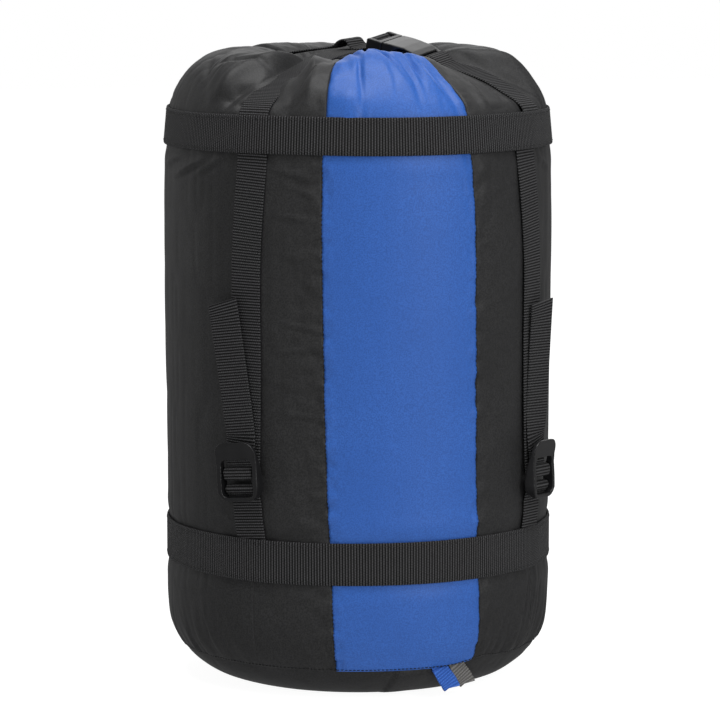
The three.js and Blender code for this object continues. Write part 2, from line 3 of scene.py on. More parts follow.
import bpy
import numpy as np
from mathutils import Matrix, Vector


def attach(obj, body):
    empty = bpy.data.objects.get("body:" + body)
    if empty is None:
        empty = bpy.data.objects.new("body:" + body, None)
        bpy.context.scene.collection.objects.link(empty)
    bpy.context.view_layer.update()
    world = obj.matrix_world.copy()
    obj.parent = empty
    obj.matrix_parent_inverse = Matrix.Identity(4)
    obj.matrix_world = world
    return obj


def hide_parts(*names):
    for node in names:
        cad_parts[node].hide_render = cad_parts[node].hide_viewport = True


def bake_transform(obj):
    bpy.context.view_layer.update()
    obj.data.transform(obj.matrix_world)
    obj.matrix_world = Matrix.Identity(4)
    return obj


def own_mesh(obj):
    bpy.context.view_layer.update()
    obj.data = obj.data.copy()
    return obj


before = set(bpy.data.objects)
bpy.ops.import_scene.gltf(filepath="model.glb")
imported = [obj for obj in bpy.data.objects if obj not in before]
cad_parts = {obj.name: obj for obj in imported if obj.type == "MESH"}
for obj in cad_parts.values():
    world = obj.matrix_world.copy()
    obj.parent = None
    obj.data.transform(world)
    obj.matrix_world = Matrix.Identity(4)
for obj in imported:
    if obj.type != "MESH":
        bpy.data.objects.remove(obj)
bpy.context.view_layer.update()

# Compression sack, packed full: its looks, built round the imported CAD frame.
# Shapes are worked out in millimetres in the part's own frame: +Z up, the blue panel towards -Y, and angles
# round the sack in degrees from -Y towards +X. They become metres when a mesh is made.

# ---- driving dimensions, as in the part ----
BASE_FLAT_RADIUS = 70.5
BASE_CORNER = 45.5
BASE_SEAM_ANGLE = 52.3
LOWER_BAND = (71.5, 96.5)
UPPER_BAND = (321.5, 343.5)
TOP_SEAM_Z = 331.7
PANEL_LEFT = -24.7
PANEL_RIGHT = 19.3
STRAP_ANGLE = 47.4
WALL_RADIUS = 115
STRAP_WIDTH = 20
WEB = 1.2
LOCK_RADIUS = 120.4
MIDDLE_BAR_RISE = 9.3
TAIL_OUTWARD = 2
TAIL_LENGTH = 94
TAIL_CUT = 0.17
BUCKLE_OUT = 22.7
BUCKLE_Z = 380
BUCKLE_SLOPE = 15.5
BUCKLE_ROLL = 7
MALE_BAR_X = -9.1
RIB_PITCH = 1.65

# Each strap: its angle on the top; its angle at four heights from its lock to the upper ring; its lock's
# angle, height and lean; how far its free end sways low down and high up, and turns; how far the top dips
# on each side of it.
STRAP_FIELDS = ("angle", "path", "lock", "lock_z", "lean", "sway", "twist", "spread")
STRAP_VALUES = {
    "front_left": (-STRAP_ANGLE, (-49.3, -48.9, -48.8, -47.2), -49.6, 126.3, 6, (-2.4, 0.6), 3, (27, 30)),
    "front_right": (STRAP_ANGLE, (46.6, 45.5, 45.1, 42.4), 47, 121.3, -3, (3, 5), -12, (104, 31)),
    "back_right": (180 - STRAP_ANGLE, (131.8, 132.3, 133, 133.4), 131.8, 125, 2, (0, 0), 4, (30, 25)),
    "back_left": (180 + STRAP_ANGLE, (226.4, 227, 228, 228.8), 226.2, 123.5, -2.5, (0, 0), -5, (26, 29)),
}
STRAPS = {name: dict(zip(STRAP_FIELDS, values)) for name, values in STRAP_VALUES.items()}


# ---- numbers ----
def around(degrees, r, z):
    """Points at radius r and height z, at an angle round the sack."""
    a = np.radians(degrees)
    return np.stack(np.broadcast_arrays(r * np.sin(a), -r * np.cos(a), z), axis=-1).astype(float)


def smooth(x, low, high):
    t = np.clip((np.asarray(x, float) - low) / (high - low), 0, 1)
    return t * t * (3 - 2 * t)


def hill(x, width):
    """1 at 0, falling smoothly to nothing about two widths away."""
    return np.exp(-((np.asarray(x, float) / width) ** 2))


def turn_between(a, b):
    """Signed turn from b to a in degrees, from -180 to 180."""
    return (np.asarray(a, float) - b + 180) % 360 - 180


def unit(v):
    v = np.asarray(v, float)
    return v / np.linalg.norm(v, axis=-1, keepdims=True)


def tangents(line, closed=False):
    """The direction of a line at each of its points."""
    if closed:
        return unit(np.roll(line, -1, axis=0) - np.roll(line, 1, axis=0))
    return unit(np.gradient(line, axis=0))


def hermite(t, knots, values):
    """A smooth curve through values at knots, read at t. Values may be points."""
    knots = np.asarray(knots, float)
    values = np.asarray(values, float)
    slopes = np.gradient(values, knots, axis=0)
    i = np.clip(np.searchsorted(knots, t, side="right") - 1, 0, len(knots) - 2)
    h = knots[i + 1] - knots[i]
    s = (t - knots[i]) / h
    if values.ndim > 1:
        h, s = h[:, None], s[:, None]
    a = (1 + 2 * s) * (1 - s) ** 2 * values[i] + s * (1 - s) ** 2 * h * slopes[i]
    return a + s * s * (3 - 2 * s) * values[i + 1] + s * s * (s - 1) * h * slopes[i + 1]


def lengths_along(points):
    """How far each point lies along the line through them all."""
    return np.concatenate([[0], np.cumsum(np.linalg.norm(np.diff(points, axis=0), axis=1))])


def uv_grid(u, v):
    """A grid of every (u, v)."""
    return np.stack(np.broadcast_arrays(u[:, None], v[None]), axis=-1)


def route(points, step=None, count=None):
    """Even points on a smooth curve through the given ones, and where each given one lies, in 0..1."""
    points = np.asarray(points, float)
    gaps = np.linalg.norm(np.diff(points, axis=0), axis=1)
    knots = np.concatenate([[0], np.cumsum(np.sqrt(gaps))])
    dense = np.linspace(0, knots[-1], 60 * len(points))
    line = hermite(dense, knots, points)
    along = lengths_along(line)
    count = count or max(3, int(round(along[-1] / step)) + 1)
    even = np.linspace(0, along[-1], count)
    made = np.stack([np.interp(even, along, line[:, k]) for k in range(points.shape[1])], axis=-1)
    return made, np.interp(knots, dense, along) / along[-1]


def noise(u, v, across, up, seed):
    """Smooth noise from -1 to 1 over u and v in 0..1. It repeats in u."""
    grid = np.random.default_rng(seed).uniform(-1, 1, (up + 2, across))
    x = (np.asarray(u, float) % 1) * across
    y = np.clip(v, 0, 1) * up
    i, j = np.floor(x).astype(int), np.floor(y).astype(int)
    fx, fy = x - i, y - j
    fx, fy = fx**3 * (fx * (6 * fx - 15) + 10), fy**3 * (fy * (6 * fy - 15) + 10)
    i0, i1 = i % across, (i + 1) % across
    low = grid[j, i0] * (1 - fx) + grid[j, i1] * fx
    high = grid[j + 1, i0] * (1 - fx) + grid[j + 1, i1] * fx
    return low * (1 - fy) + high * fy


def ridges(u, v, across, up, seed):
    """Creased noise from 0 to 1, with narrow valleys at 0 and round crests."""
    return np.abs(noise(u, v, across, up, seed)) ** 0.7


# ---- meshes ----
def linked(name, data):
    """A new object in the scene."""
    made = bpy.data.objects.new(name, data)
    bpy.context.scene.collection.objects.link(made)
    return made


def new_object(name, points, faces, material, uv=None):
    """A smooth mesh object from points in millimetres. uv holds one (u, v) for each point."""
    mesh = bpy.data.meshes.new(name)
    points = np.asarray(points, float).reshape(-1, 3) / 1000
    mesh.from_pydata(points.tolist(), [], [list(map(int, f)) for f in faces])
    if uv is not None:
        corners = np.zeros(len(mesh.loops), int)
        mesh.loops.foreach_get("vertex_index", corners)
        flat = np.asarray(uv, np.float32).reshape(-1, 2)[corners]
        mesh.uv_layers.new(name="cloth_mm").data.foreach_set("uv", flat.ravel())
    mesh.polygons.foreach_set("use_smooth", [True] * len(mesh.polygons))
    mesh.materials.append(material)
    mesh.update()
    return linked(name, mesh)


def stand_for(piece, node, body=None):
    """The piece replaces a CAD node, which is hidden. It may ride on one body."""
    if body:
        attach(piece, body)
    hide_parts(node)


def grid_faces(rows, columns, wrap=False):
    """Quads over rows of points. wrap joins the last row to the first."""
    faces = []
    for i in range(rows if wrap else rows - 1):
        a, b = i * columns, ((i + 1) % rows) * columns
        faces += [(a + j, a + j + 1, b + j + 1, b + j) for j in range(columns - 1)]
    return faces


def end_faces(rows, columns):
    """The two ends of a swept outline. The last point of a row repeats its first."""
    first = list(range(columns - 1))
    return [first[::-1], [(rows - 1) * columns + k for k in first]]


def grid_normals(points):
    """A normal for each point of a grid [rows, columns, 3]."""
    return unit(np.cross(np.gradient(points, axis=1), np.gradient(points, axis=0)))


# ---- materials ----
class Nodes:
    """A material's node tree, with short calls for the nodes used here."""

    def __init__(self, name):
        self.material = bpy.data.materials.new(name)
        self.material.use_nodes = True
        self.tree = self.material.node_tree
        self.shader = self.tree.nodes["Principled BSDF"]

    def add(self, kind, inputs=(), **settings):
        node = self.tree.nodes.new(kind)
        for key, value in settings.items():
            setattr(node, key, value)
        for key, value in dict(inputs).items():
            self.plug(node.inputs[key], value)
        return node

    def plug(self, target, value):
        if isinstance(value, bpy.types.NodeSocket):
            self.tree.links.new(value, target)
        else:
            target.default_value = value

    def maths(self, operation, *values):
        return self.add("ShaderNodeMath", enumerate(values), operation=operation).outputs[0]

    def noise(self, vector, scale, detail=3, roughness=0.55):
        inputs = {"Vector": vector, "Scale": scale, "Detail": detail, "Roughness": roughness}
        return self.add("ShaderNodeTexNoise", inputs).outputs["Fac"]

    def ramp(self, factor, stops):
        """stops: (position, colour) pairs."""
        node = self.add("ShaderNodeValToRGB", {0: factor})
        elements = node.color_ramp.elements
        while len(elements) < len(stops):
            elements.new(0.5)
        for element, (position, colour) in zip(elements, stops):
            element.position = position
            element.color = (*colour, 1)
        return node.outputs["Color"]

    def mix(self, factor, a, b):
        node = self.add("ShaderNodeMix", {"Factor": factor}, data_type="RGBA")
        colour_inputs = [s for s in node.inputs if s.type == "RGBA"]
        for socket, value in zip(colour_inputs, (a, b)):
            self.plug(socket, (*value, 1) if isinstance(value, tuple) else value)
        return [s for s in node.outputs if s.type == "RGBA"][0]

    def bump(self, height, distance, strength, under=None):
        inputs = {"Strength": strength, "Distance": distance, "Height": height}
        if under is not None:
            inputs["Normal"] = under
        return self.add("ShaderNodeBump", inputs).outputs["Normal"]

    def uv(self):
        """The two distances over the cloth, in millimetres."""
        flat = self.add("ShaderNodeUVMap", uv_map="cloth_mm").outputs[0]
        node = self.add("ShaderNodeSeparateXYZ", {0: flat})
        return node.outputs[0], node.outputs[1]

    def place(self):
        return self.add("ShaderNodeTexCoord").outputs["Object"]

    def finish(self, **inputs):
        for key, value in inputs.items():
            self.plug(self.shader.inputs[key.replace("_", " ")], value)
        return self.material


def wave(n, distance, pitch, shift=0):
    """0..1 along a distance, one hump each pitch."""
    turns = n.maths("MULTIPLY_ADD", distance, 2 * pi / pitch, shift)
    return n.maths("MULTIPLY_ADD", n.maths("SINE", turns), 0.5, 0.5)


def nylon(name, dark, light, roughness, gloss, grain):
    """Woven coated nylon: a fine plain weave, faint crinkles, and soft patches of tone."""
    n = Nodes(name)
    place = n.place()
    weave = n.noise(place, 1500, 2)
    crinkle = n.noise(place, 420, 3, 0.6)
    patches = n.noise(place, 24, 3)
    colour = n.ramp(patches, [(0.3, dark), (0.7, light)])
    fleck = n.maths("MULTIPLY_ADD", n.noise(place, 1300, 1), 4, -1.5)
    colour = n.mix(fleck, colour, tuple((1 - grain) * c for c in dark))
    normal = n.bump(crinkle, 0.00018, 0.5)
    normal = n.bump(weave, 0.00005, 0.5, normal)
    rough = n.maths("MULTIPLY_ADD", n.noise(place, 60, 2), 0.14, roughness - 0.07)
    inputs = {"Sheen_Weight": 0.01, "Sheen_Roughness": 0.4, "Specular_IOR_Level": gloss}
    return n.finish(Base_Color=colour, Roughness=rough, Normal=normal, **inputs)


def ribbed_webbing(name, dark, light):
    """Woven webbing: ribs across the width, each a row of small yarn floats. Painted shade darkens the
    hollows between them.
    """
    n = Nodes(name)
    u, v = n.uv()
    place = n.place()
    rib = n.maths("POWER", wave(n, u, RIB_PITCH), 1.3)
    row = n.maths("FLOOR", n.maths("DIVIDE", u, RIB_PITCH))
    shift = n.maths("MULTIPLY", row, pi)
    yarn = wave(n, v, 1.5, shift)
    height = n.maths("MULTIPLY", rib, n.maths("MULTIPLY_ADD", yarn, 0.5, 0.5))
    fuzz = n.noise(place, 1100, 2)
    # painted shade: the colour follows rib and float height, dark in the hollows and light on the crests,
    # plus random fuzz
    tone = n.maths("MULTIPLY_ADD", fuzz, 0.24, n.maths("MULTIPLY", height, 0.9))
    colour = n.ramp(tone, [(0.12, dark), (0.8, light)])
    normal = n.bump(fuzz, 0.00008, 0.5)
    normal = n.bump(height, 0.0006, 0.9, normal)
    inputs = {"Sheen_Weight": 0.02, "Sheen_Roughness": 0.5, "Specular_IOR_Level": 0.12}
    return n.finish(Base_Color=colour, Roughness=0.75, Normal=normal, **inputs)


def plastic(name, colour, roughness):
    """Moulded acetal: a faint grain in the gloss, and slightly lighter where it rubs."""
    n = Nodes(name)
    place = n.place()
    grain = n.noise(place, 2600, 2)
    cloud = n.noise(place, 120, 2)
    tone = n.ramp(cloud, [(0.3, colour), (0.75, tuple(c * 1.5 for c in colour))])
    rough = n.maths("MULTIPLY_ADD", cloud, 0.12, roughness - 0.06)
    normal = n.bump(grain, 0.00004, 0.3)
    return n.finish(Base_Color=tone, Roughness=rough, Normal=normal, Specular_IOR_Level=0.4)


def thread_material(name, colour):
    """Sewing thread: twisted, with a little gloss."""
    n = Nodes(name)
    twist = n.noise(n.place(), 3000, 1)
    tone = n.ramp(twist, [(0.35, tuple(c * 0.6 for c in colour)), (0.65, colour)])
    return n.finish(Base_Color=tone, Roughness=0.5, Normal=n.bump(twist, 0.00005, 0.6))


def spring_wire(name):
    """Drawn spring wire: bright, with fine lines along it."""
    n = Nodes(name)
    lines = n.noise(n.place(), 2200, 2)
    tone = n.ramp(lines, [(0.3, (0.42, 0.43, 0.45)), (0.7, (0.6, 0.61, 0.63))])
    return n.finish(Base_Color=tone, Metallic=1, Roughness=0.3, Normal=n.bump(lines, 0.00002, 0.4))


def braided_cord(name, dark, light):
    """Braided cord: two sets of strands that cross at a slant. Painted shade darkens the gaps between
    strands.
    """
    n = Nodes(name)
    u, v = n.uv()
    right = wave(n, n.maths("MULTIPLY_ADD", v, 0.5, u), 0.9)
    left = wave(n, n.maths("MULTIPLY_ADD", v, -0.5, u), 0.9)
    strands = n.maths("MAXIMUM", right, left)
    # painted shade: the colour is darker where the strands sink, between them
    colour = n.ramp(strands, [(0.3, dark), (0.95, light)])
    return n.finish(Base_Color=colour, Roughness=0.65, Normal=n.bump(strands, 0.0003, 0.8))


black_cloth = nylon("black_cloth", (0.0180, 0.0180, 0.0186), (0.0235, 0.0235, 0.0243), 0.54, 0.25, 0.4)
blue_cloth = nylon("blue_cloth", (0.019, 0.086, 0.342), (0.023, 0.097, 0.373), 0.5, 0.28, 0.2)
filling_cloth = nylon("filling_cloth", (0.22, 0.225, 0.24), (0.3, 0.305, 0.32), 0.7, 0.2, 0.3)
webbing_cloth = ribbed_webbing("webbing", (0.0015, 0.0015, 0.0016), (0.052, 0.052, 0.054))
blue_tape = ribbed_webbing("blue_tape", (0.020, 0.07, 0.30), (0.045, 0.14, 0.50))
grey_tape = ribbed_webbing("grey_tape", (0.07, 0.068, 0.065), (0.17, 0.165, 0.16))
black_plastic = plastic("buckle_plastic", (0.0055, 0.0055, 0.006), 0.32)
black_thread = thread_material("black_thread", (0.003, 0.003, 0.0033))
cord_braid = braided_cord("cord", (0.006, 0.006, 0.0065), (0.035, 0.035, 0.037))
steel = spring_wire("spring_steel")


# ---- camera and room ----
CAMERA_ANGLE = -15.4
CAMERA_DISTANCE = 2.337
CAMERA_HEIGHT = 0.490
CAMERA_DOWN = 7.34
CAMERA_RIGHT = 0.03
CAMERA_LENS = 194.4
SURROUND_LIGHT = 0.24
BACKDROP_LIGHT = 1
FLOOR_GLOW = 0.95
FLOOR_SIZE = 6000
FLOOR_DROP = -0.2
LIT_HEIGHT = 0.2
# Each light's turn from the camera and its elevation, its distance, width and height, and its watts.
LIGHTS = {
    "key": (40, 20, 2.4, 0.5, 1.4, 25),
    "fill": (-30, 16, 2.4, 0.45, 1.4, 4),
    "side": (-120, 12, 2.4, 1, 1.6, 3),
    "top": (20, 80, 2.2, 1.8, 1.8, 64),
    "back": (178, 28, 2.6, 1.8, 1.6, 11),
}


def make_camera():
    data = bpy.data.cameras.new("camera")
    data.sensor_width = 36
    data.lens = CAMERA_LENS
    camera = linked("camera", data)
    camera.location = around(CAMERA_ANGLE, CAMERA_DISTANCE, CAMERA_HEIGHT)
    yaw = radians(CAMERA_ANGLE - CAMERA_RIGHT)
    camera.rotation_euler = (radians(90 - CAMERA_DOWN), 0, yaw)
    bpy.context.scene.camera = camera


def make_light(name, turn, elevation, distance, width, height, watts):
    """A soft panel of light that faces the middle of the sack."""
    data = bpy.data.lights.new(name, "AREA")
    data.shape = "RECTANGLE"
    data.size, data.size_y = width, height
    data.energy = watts
    light = linked(name, data)
    e = radians(elevation)
    light.location = around(CAMERA_ANGLE + turn, distance * cos(e), LIT_HEIGHT + distance * sin(e))
    aim = Vector((0, 0, LIT_HEIGHT)) - light.location
    light.rotation_euler = aim.to_track_quat("-Z", "Y").to_euler()


def make_room():
    """A white paper floor that runs out of sight, and a white surround."""
    n = Nodes("floor_paper")
    tone = n.ramp(n.noise(n.place(), 3, 2), [(0.3, (0.21, 0.21, 0.21)), (0.7, (0.23, 0.23, 0.23))])
    inputs = {"Emission_Color": (1, 1, 1, 1), "Emission_Strength": FLOOR_GLOW}
    n.finish(Base_Color=tone, Roughness=0.9, Specular_IOR_Level=0, **inputs)
    size, low = FLOOR_SIZE, FLOOR_DROP
    corners = [(-size, -size, low), (size, -size, low), (size, size, low), (-size, size, low)]
    floor = new_object("floor", corners, [(0, 1, 2, 3)], n.material)
    floor.visible_glossy = False
    world = bpy.data.worlds.new("studio")
    world.use_nodes = True
    tree = world.node_tree
    choose = tree.nodes.new("ShaderNodeMixShader")
    tree.links.new(tree.nodes.new("ShaderNodeLightPath").outputs["Is Camera Ray"], choose.inputs[0])
    tree.links.new(choose.outputs[0], tree.nodes["World Output"].inputs["Surface"])
    lit, seen = tree.nodes["Background"], tree.nodes.new("ShaderNodeBackground")
    shades = [(lit, SURROUND_LIGHT), (seen, BACKDROP_LIGHT)]
    for socket, (shade, strength) in zip(choose.inputs[1:], shades):
        shade.inputs["Color"].default_value = (1, 1, 1, 1)
        shade.inputs["Strength"].default_value = strength
        tree.links.new(shade.outputs[0], socket)
    bpy.context.scene.world = world
    bpy.context.scene.view_settings.view_transform = "Standard"


make_camera()
make_room()
for light_name, light in LIGHTS.items():
    make_light(light_name, *light)


# ---- the stuffed cloth body ----
def corner(degrees, inward=0):
    """A point [r, z] of the base's round corner."""
    a = radians(degrees)
    reach = BASE_CORNER - inward
    return [BASE_FLAT_RADIUS + reach * sin(a), BASE_CORNER - reach * cos(a)]


# From the middle of the base, round its corner, up the wall to the top's seam.
BODY_LINE = [
    [0, 0], [25, 0], [50, 0], [BASE_FLAT_RADIUS - 4, 0],
    *[corner(a) for a in (6, 14, 26, 39, BASE_SEAM_ANGLE, 62, 73)], [115.7, 47], [115.6, 60],
    [114.5, LOWER_BAND[0]], [114.3, 84], [114.5, LOWER_BAND[1]], [115.3, 110], [115.8, 165], [116.5, 220],
    [116.5, 290], [115.7, 312], [114.6, UPPER_BAND[0] + 2], [113.7, TOP_SEAM_Z],
]
WALL_ROWS = 200
BASE_ROWS = 64

# How far the blue panel's seams wander round the sack, in degrees, at heights up the wall.
SEAM_HEIGHTS = (18, 45, 70, 98, 122, 180, 240, 279, 319, 345)
LEFT_SEAM_DRIFT = (2.5, 2.2, 1.7, 1, 0.4, -0.3, -0.8, -1, -0.9, 0)
RIGHT_SEAM_DRIFT = (3.2, 3.6, 3.6, 2.8, 2.5, 1.8, 1.3, 1, 0.1, -0.6)

# Along a radius the top puffs up between the straps (crest) and is drawn down under each one (valley).
TOP_CREST = [
    (113.7, TOP_SEAM_Z), (113, 343.5), (110.6, 351.5), (106.4, 359), (100.4, 366.2), (91, 373),
    (79, 376.6), (66, 377.6), (54, 376), (44, 370), (34, 362.8), (18.4, 358),
]
TOP_VALLEY = [
    (113.7, TOP_SEAM_Z), (112.7, 343), (109.2, 348.2), (104.5, 351.4), (98, 355), (89, 359.6),
    (78, 363.8), (66, 367), (54, 369.4), (44, 368.2), (34, 363), (18.4, 358),
]
TOP_ROWS = 110
COLUMN_TURN = 0.72
TURN_IN = 2.2


def column_angles():
    """Angles of the columns round the sack, with one on each panel seam. The last repeats the first."""
    seams = [PANEL_LEFT, PANEL_RIGHT, STRAP_ANGLE, 360 - STRAP_ANGLE, 360 + PANEL_LEFT]
    angles, places = [PANEL_LEFT], [0]
    for a, b in zip(seams, seams[1:]):
        steps = int(round((b - a) / COLUMN_TURN))
        angles += list(np.linspace(a, b, steps + 1)[1:])
        places.append(len(angles) - 1)
    return np.array(angles), places


ANGLES, SEAM_COLUMNS = column_angles()


def panel_distance(angle, edge, r=WALL_RADIUS):
    """Distance round the sack from a panel edge, in millimetres."""
    return np.radians(turn_between(angle, edge)) * r


def groove(distance, depth, width):
    """The dip that a seam pulls into the cloth."""
    return -depth * np.exp(-np.abs(distance) / width)


def crease(x, y, amount, width, length, tilt):
    """A fold, amount high (or deep, if negative), tilted from upright. x and y run from its middle."""
    t = radians(tilt)
    side = x * cos(t) - y * sin(t)
    along = x * sin(t) + y * cos(t)
    return amount * hill(side, width) * hill(along, length)


def blue_share(angle):
    """1 inside the blue panel, 0 outside, with a soft edge."""
    inside = panel_distance(angle, PANEL_LEFT)
    right = panel_distance(angle, PANEL_RIGHT)
    return smooth(inside, -2, 2) * smooth(-right, -2, 2)


def wandered(angle, z):
    """Where a column lies at a height, once the blue panel's seams have wandered."""
    from_middle = turn_between(angle, (PANEL_LEFT + PANEL_RIGHT) / 2)
    half = (PANEL_RIGHT - PANEL_LEFT) / 2
    across = np.clip(from_middle / (2 * half) + 0.5, 0, 1)
    left = np.interp(z, SEAM_HEIGHTS, LEFT_SEAM_DRIFT)
    right = np.interp(z, SEAM_HEIGHTS, RIGHT_SEAM_DRIFT)
    fade = 1 - smooth(np.abs(from_middle) - half, 0, 21)
    return angle + (left * (1 - across) + right * across) * fade


def base_seam_z(angle):
    """How high the base's seam lies. It rides up to the right of the blue panel."""
    turn = turn_between(angle, 22)
    return 18.6 + 3.2 * hill(turn, 7) + 2.4 * smooth(turn, -6, 12) * smooth(-turn, -90, -30)


# Folds pressed into the wall: angle and height, then how high, wide and long, and the tilt from upright.
WALL_FOLDS = [
    (-86, 314, 1.5, 1.8, 14, 78), (-74, 311, 1.9, 1.6, 15, 72), (-63, 314, 1.1, 1.8, 11, 66),
    (-33, 310, 1.2, 1.6, 12, -78), (-30, 300, 0.8, 1.5, 9, -70), (-32, 285, 1.1, 1.3, 12, -84),
    (-34, 262, 0.35, 1.6, 10, -76), (-31, 222, 1.3, 1.2, 11, -80), (-33, 208, 0.9, 1.2, 12, 86),
    (-36, 188, 0.35, 1.6, 13, -78), (-31, 170, 1.2, 1.2, 12, -84), (-30, 122, 0.4, 1.6, 12, 74),
    (-36, 104, 0.5, 2, 12, 66), (-58, 108, 0.6, 2.2, 12, -60), (31, 236, 0.3, 2, 12, 70),
    (29, 300, 0.5, 1.8, 12, 78), (33, 205, 0.35, 1.6, 13, -72), (30, 168, 0.3, 2, 11, 76),
    (56, 312, 0.9, 2, 12, -70), (62, 118, 0.6, 2.4, 12, 62), (29, 108, 0.5, 2, 11, -62),
    (44, 46, -2.6, 1.7, 20, 16), (49, 48, 1.9, 2.2, 19, 15), (54, 44, -2.3, 1.7, 17, 13),
    (38, 38, 1.1, 2, 15, 18), (32, 36, -1.1, 1.8, 13, 20), (96, 312, 0.8, 1.8, 13, 68),
    (108, 300, 0.6, 1.6, 15, -74), (124, 311, 1, 1.8, 12, 72), (146, 309, 0.9, 1.8, 13, -66),
    (158, 296, 0.5, 1.8, 18, 80), (176, 308, 0.7, 2, 16, -80), (196, 300, 0.6, 1.8, 15, 74),
    (214, 311, 1, 1.8, 13, 66), (240, 312, 0.9, 1.8, 13, -70), (143, 112, 0.7, 2, 12, 60),
    (164, 106, 0.6, 2.2, 14, -64), (217, 112, 0.7, 2, 12, -60), (138, 210, 0.5, 1.6, 13, -76),
    (222, 188, 0.5, 1.6, 13, 78), (-66, 40, 0.8, 1.6, 14, -20), (-58, 40, -0.7, 1.6, 14, -18),
    (-50, 42, 0.5, 1.6, 14, -16),
]


def wall_relief(angle, z):
    """How far the wall stands out from its plain line, in millimetres."""
    u = angle / 360
    v = z / 340
    blue = blue_share(angle)
    free = smooth(z, 60, 30) + smooth(z, 98, 130) * smooth(z, 322, 296)
    soft = 0.4 * noise(u, v, 6, 3, 11) + 0.015 * noise(u + 0.13 * v, v, 17, 13, 12)
    relief = soft * np.clip(free, 0, 1)
    # gathers that rise from the base seam, deepest at the lower right
    seam_z = base_seam_z(angle)
    reach = hill(np.maximum(z - seam_z, 0), 23 + 15 * hill(turn_between(angle, 48), 16))
    lean = 0.026 * (z - 18) / 60 * np.sign(turn_between(angle, -3))
    deep = hill(turn_between(angle, 48), 15)
    strength = 0.95 + 0.35 * noise(u, v * 0, 13, 1, 14) + 1.2 * deep
    gathers = ridges(u - lean, v, 84, 3, 15) - 0.55
    fine = ridges(u - 1.3 * lean, v, 170, 5, 16) - 0.55
    relief += reach * strength * (1 - 0.75 * blue) * (1.6 * gathers + 0.9 * fine)
    # short gathers at the edges of the two webbing rings
    for edge, side, amount in ((LOWER_BAND[0], -1, 0.4), (LOWER_BAND[1], 1, 0.35), (UPPER_BAND[0], -1, 0.6)):
        away = np.maximum(side * (z - edge), 0)
        tucks = ridges(u, v, 90, 9, 17 + int(edge)) - 0.5
        relief += amount * tucks * hill(away, 11) * (1 - 0.8 * blue)
        relief += 0.5 * hill(away - 8, 6) * (side * (z - edge) > -3)
    # short level puckers along the blue panel's seams
    for edge, side, amount in ((PANEL_LEFT, -1, 1.4), (PANEL_RIGHT, 1, 0.75)):
        away = side * panel_distance(angle, edge)
        row = noise(u * 3, v, 30, 58, 21) + 0.5 * noise(u * 5, v, 60, 110, 22)
        relief += amount * row * np.exp(-np.abs(away) / 12) * (away > -5)
        relief += groove(away, 0.3, 1.6)
    for edge in (STRAP_ANGLE, 360 - STRAP_ANGLE):
        away = panel_distance(angle, edge)
        relief += 0.18 * noise(u * 6, v, 36, 70, 23) * np.exp(-np.abs(away) / 12)
    for at_angle, at_z, amount, *shape in WALL_FOLDS:
        x = panel_distance(angle, at_angle)
        relief += crease(x, z - at_z, amount, *shape)
        relief += crease(x, z + 1.6 * shape[0] - at_z, -0.5 * amount, *shape)
    seam = np.maximum(z - seam_z, 0)
    return relief * smooth(seam, 0, 3) + groove(seam, 0.7, 1.4)


BODY_ROUTE, _ = route(BODY_LINE, count=900)
BODY_ALONG = np.linspace(0, 1, len(BODY_ROUTE))
BODY_VALUES = (*BODY_ROUTE.T, *tangents(BODY_ROUTE).T)


def body_points(first, last, rows, relief):
    """A grid on the body between two places along its line, each given for every column."""
    place = first + (last - first) * np.linspace(0, 1, rows)[:, None]
    angle = np.broadcast_to(ANGLES, place.shape)
    r, z, slope_r, slope_z = (np.interp(place, BODY_ALONG, values) for values in BODY_VALUES)
    out = relief(angle, z)
    return around(wandered(angle, z), r + out * slope_z, np.maximum(z - out * slope_r, 0))


def seam_place():
    """Where the base's seam lies along the body's line, for each column."""
    rising = np.argmax(BODY_ROUTE[:, 1] > 1)
    return np.interp(base_seam_z(ANGLES), BODY_ROUTE[rising:, 1], BODY_ALONG[rising:])


def base_relief(angle, z):
    """How far the base cloth stands out from its plain line, in millimetres."""
    u = angle / 360
    seam = np.maximum(base_seam_z(angle) - z, 0)
    tucks = 0.5 * (ridges(u, z / 20, 80, 3, 41) - 0.5) * smooth(z, 6, 16)
    soft = 0.7 * noise(u, z / 20, 12, 2, 42)
    raised = (tucks + soft) * smooth(seam, 0, 3) + groove(seam, 0.7, 1.4)
    # a fold that hangs from the seam below the blue panel
    past = panel_distance(angle, -5.3 + 0.2 * (z - 20))
    raised += 1.5 * smooth(past, -0.4, 0.4) * (1 - smooth(past, 4, 34)) * smooth(seam, 0, 1.5)
    return np.where(z > 0.2, raised * smooth(z, 0.2, 6), 0)


def valley_share(angle, r):
    """1 under a strap on the top, 0 between the straps. It narrows towards the mouth."""
    share = np.zeros(np.broadcast(angle, r).shape)
    for strap in STRAPS.values():
        turn = np.radians(turn_between(angle, strap["angle"]))
        sideways = 100 * np.sin(turn)
        before, after = strap["spread"]
        reach = np.where(sideways < 0, before, after) * (0.56 + 0.44 * smooth(r, 58, 96))
        flat = 9.5 * (0.5 + 0.5 * smooth(r, 58, 96))
        under = (1 - smooth(np.abs(sideways), flat, reach)) * (np.cos(turn) > 0)
        share = np.maximum(share, under)
    return share


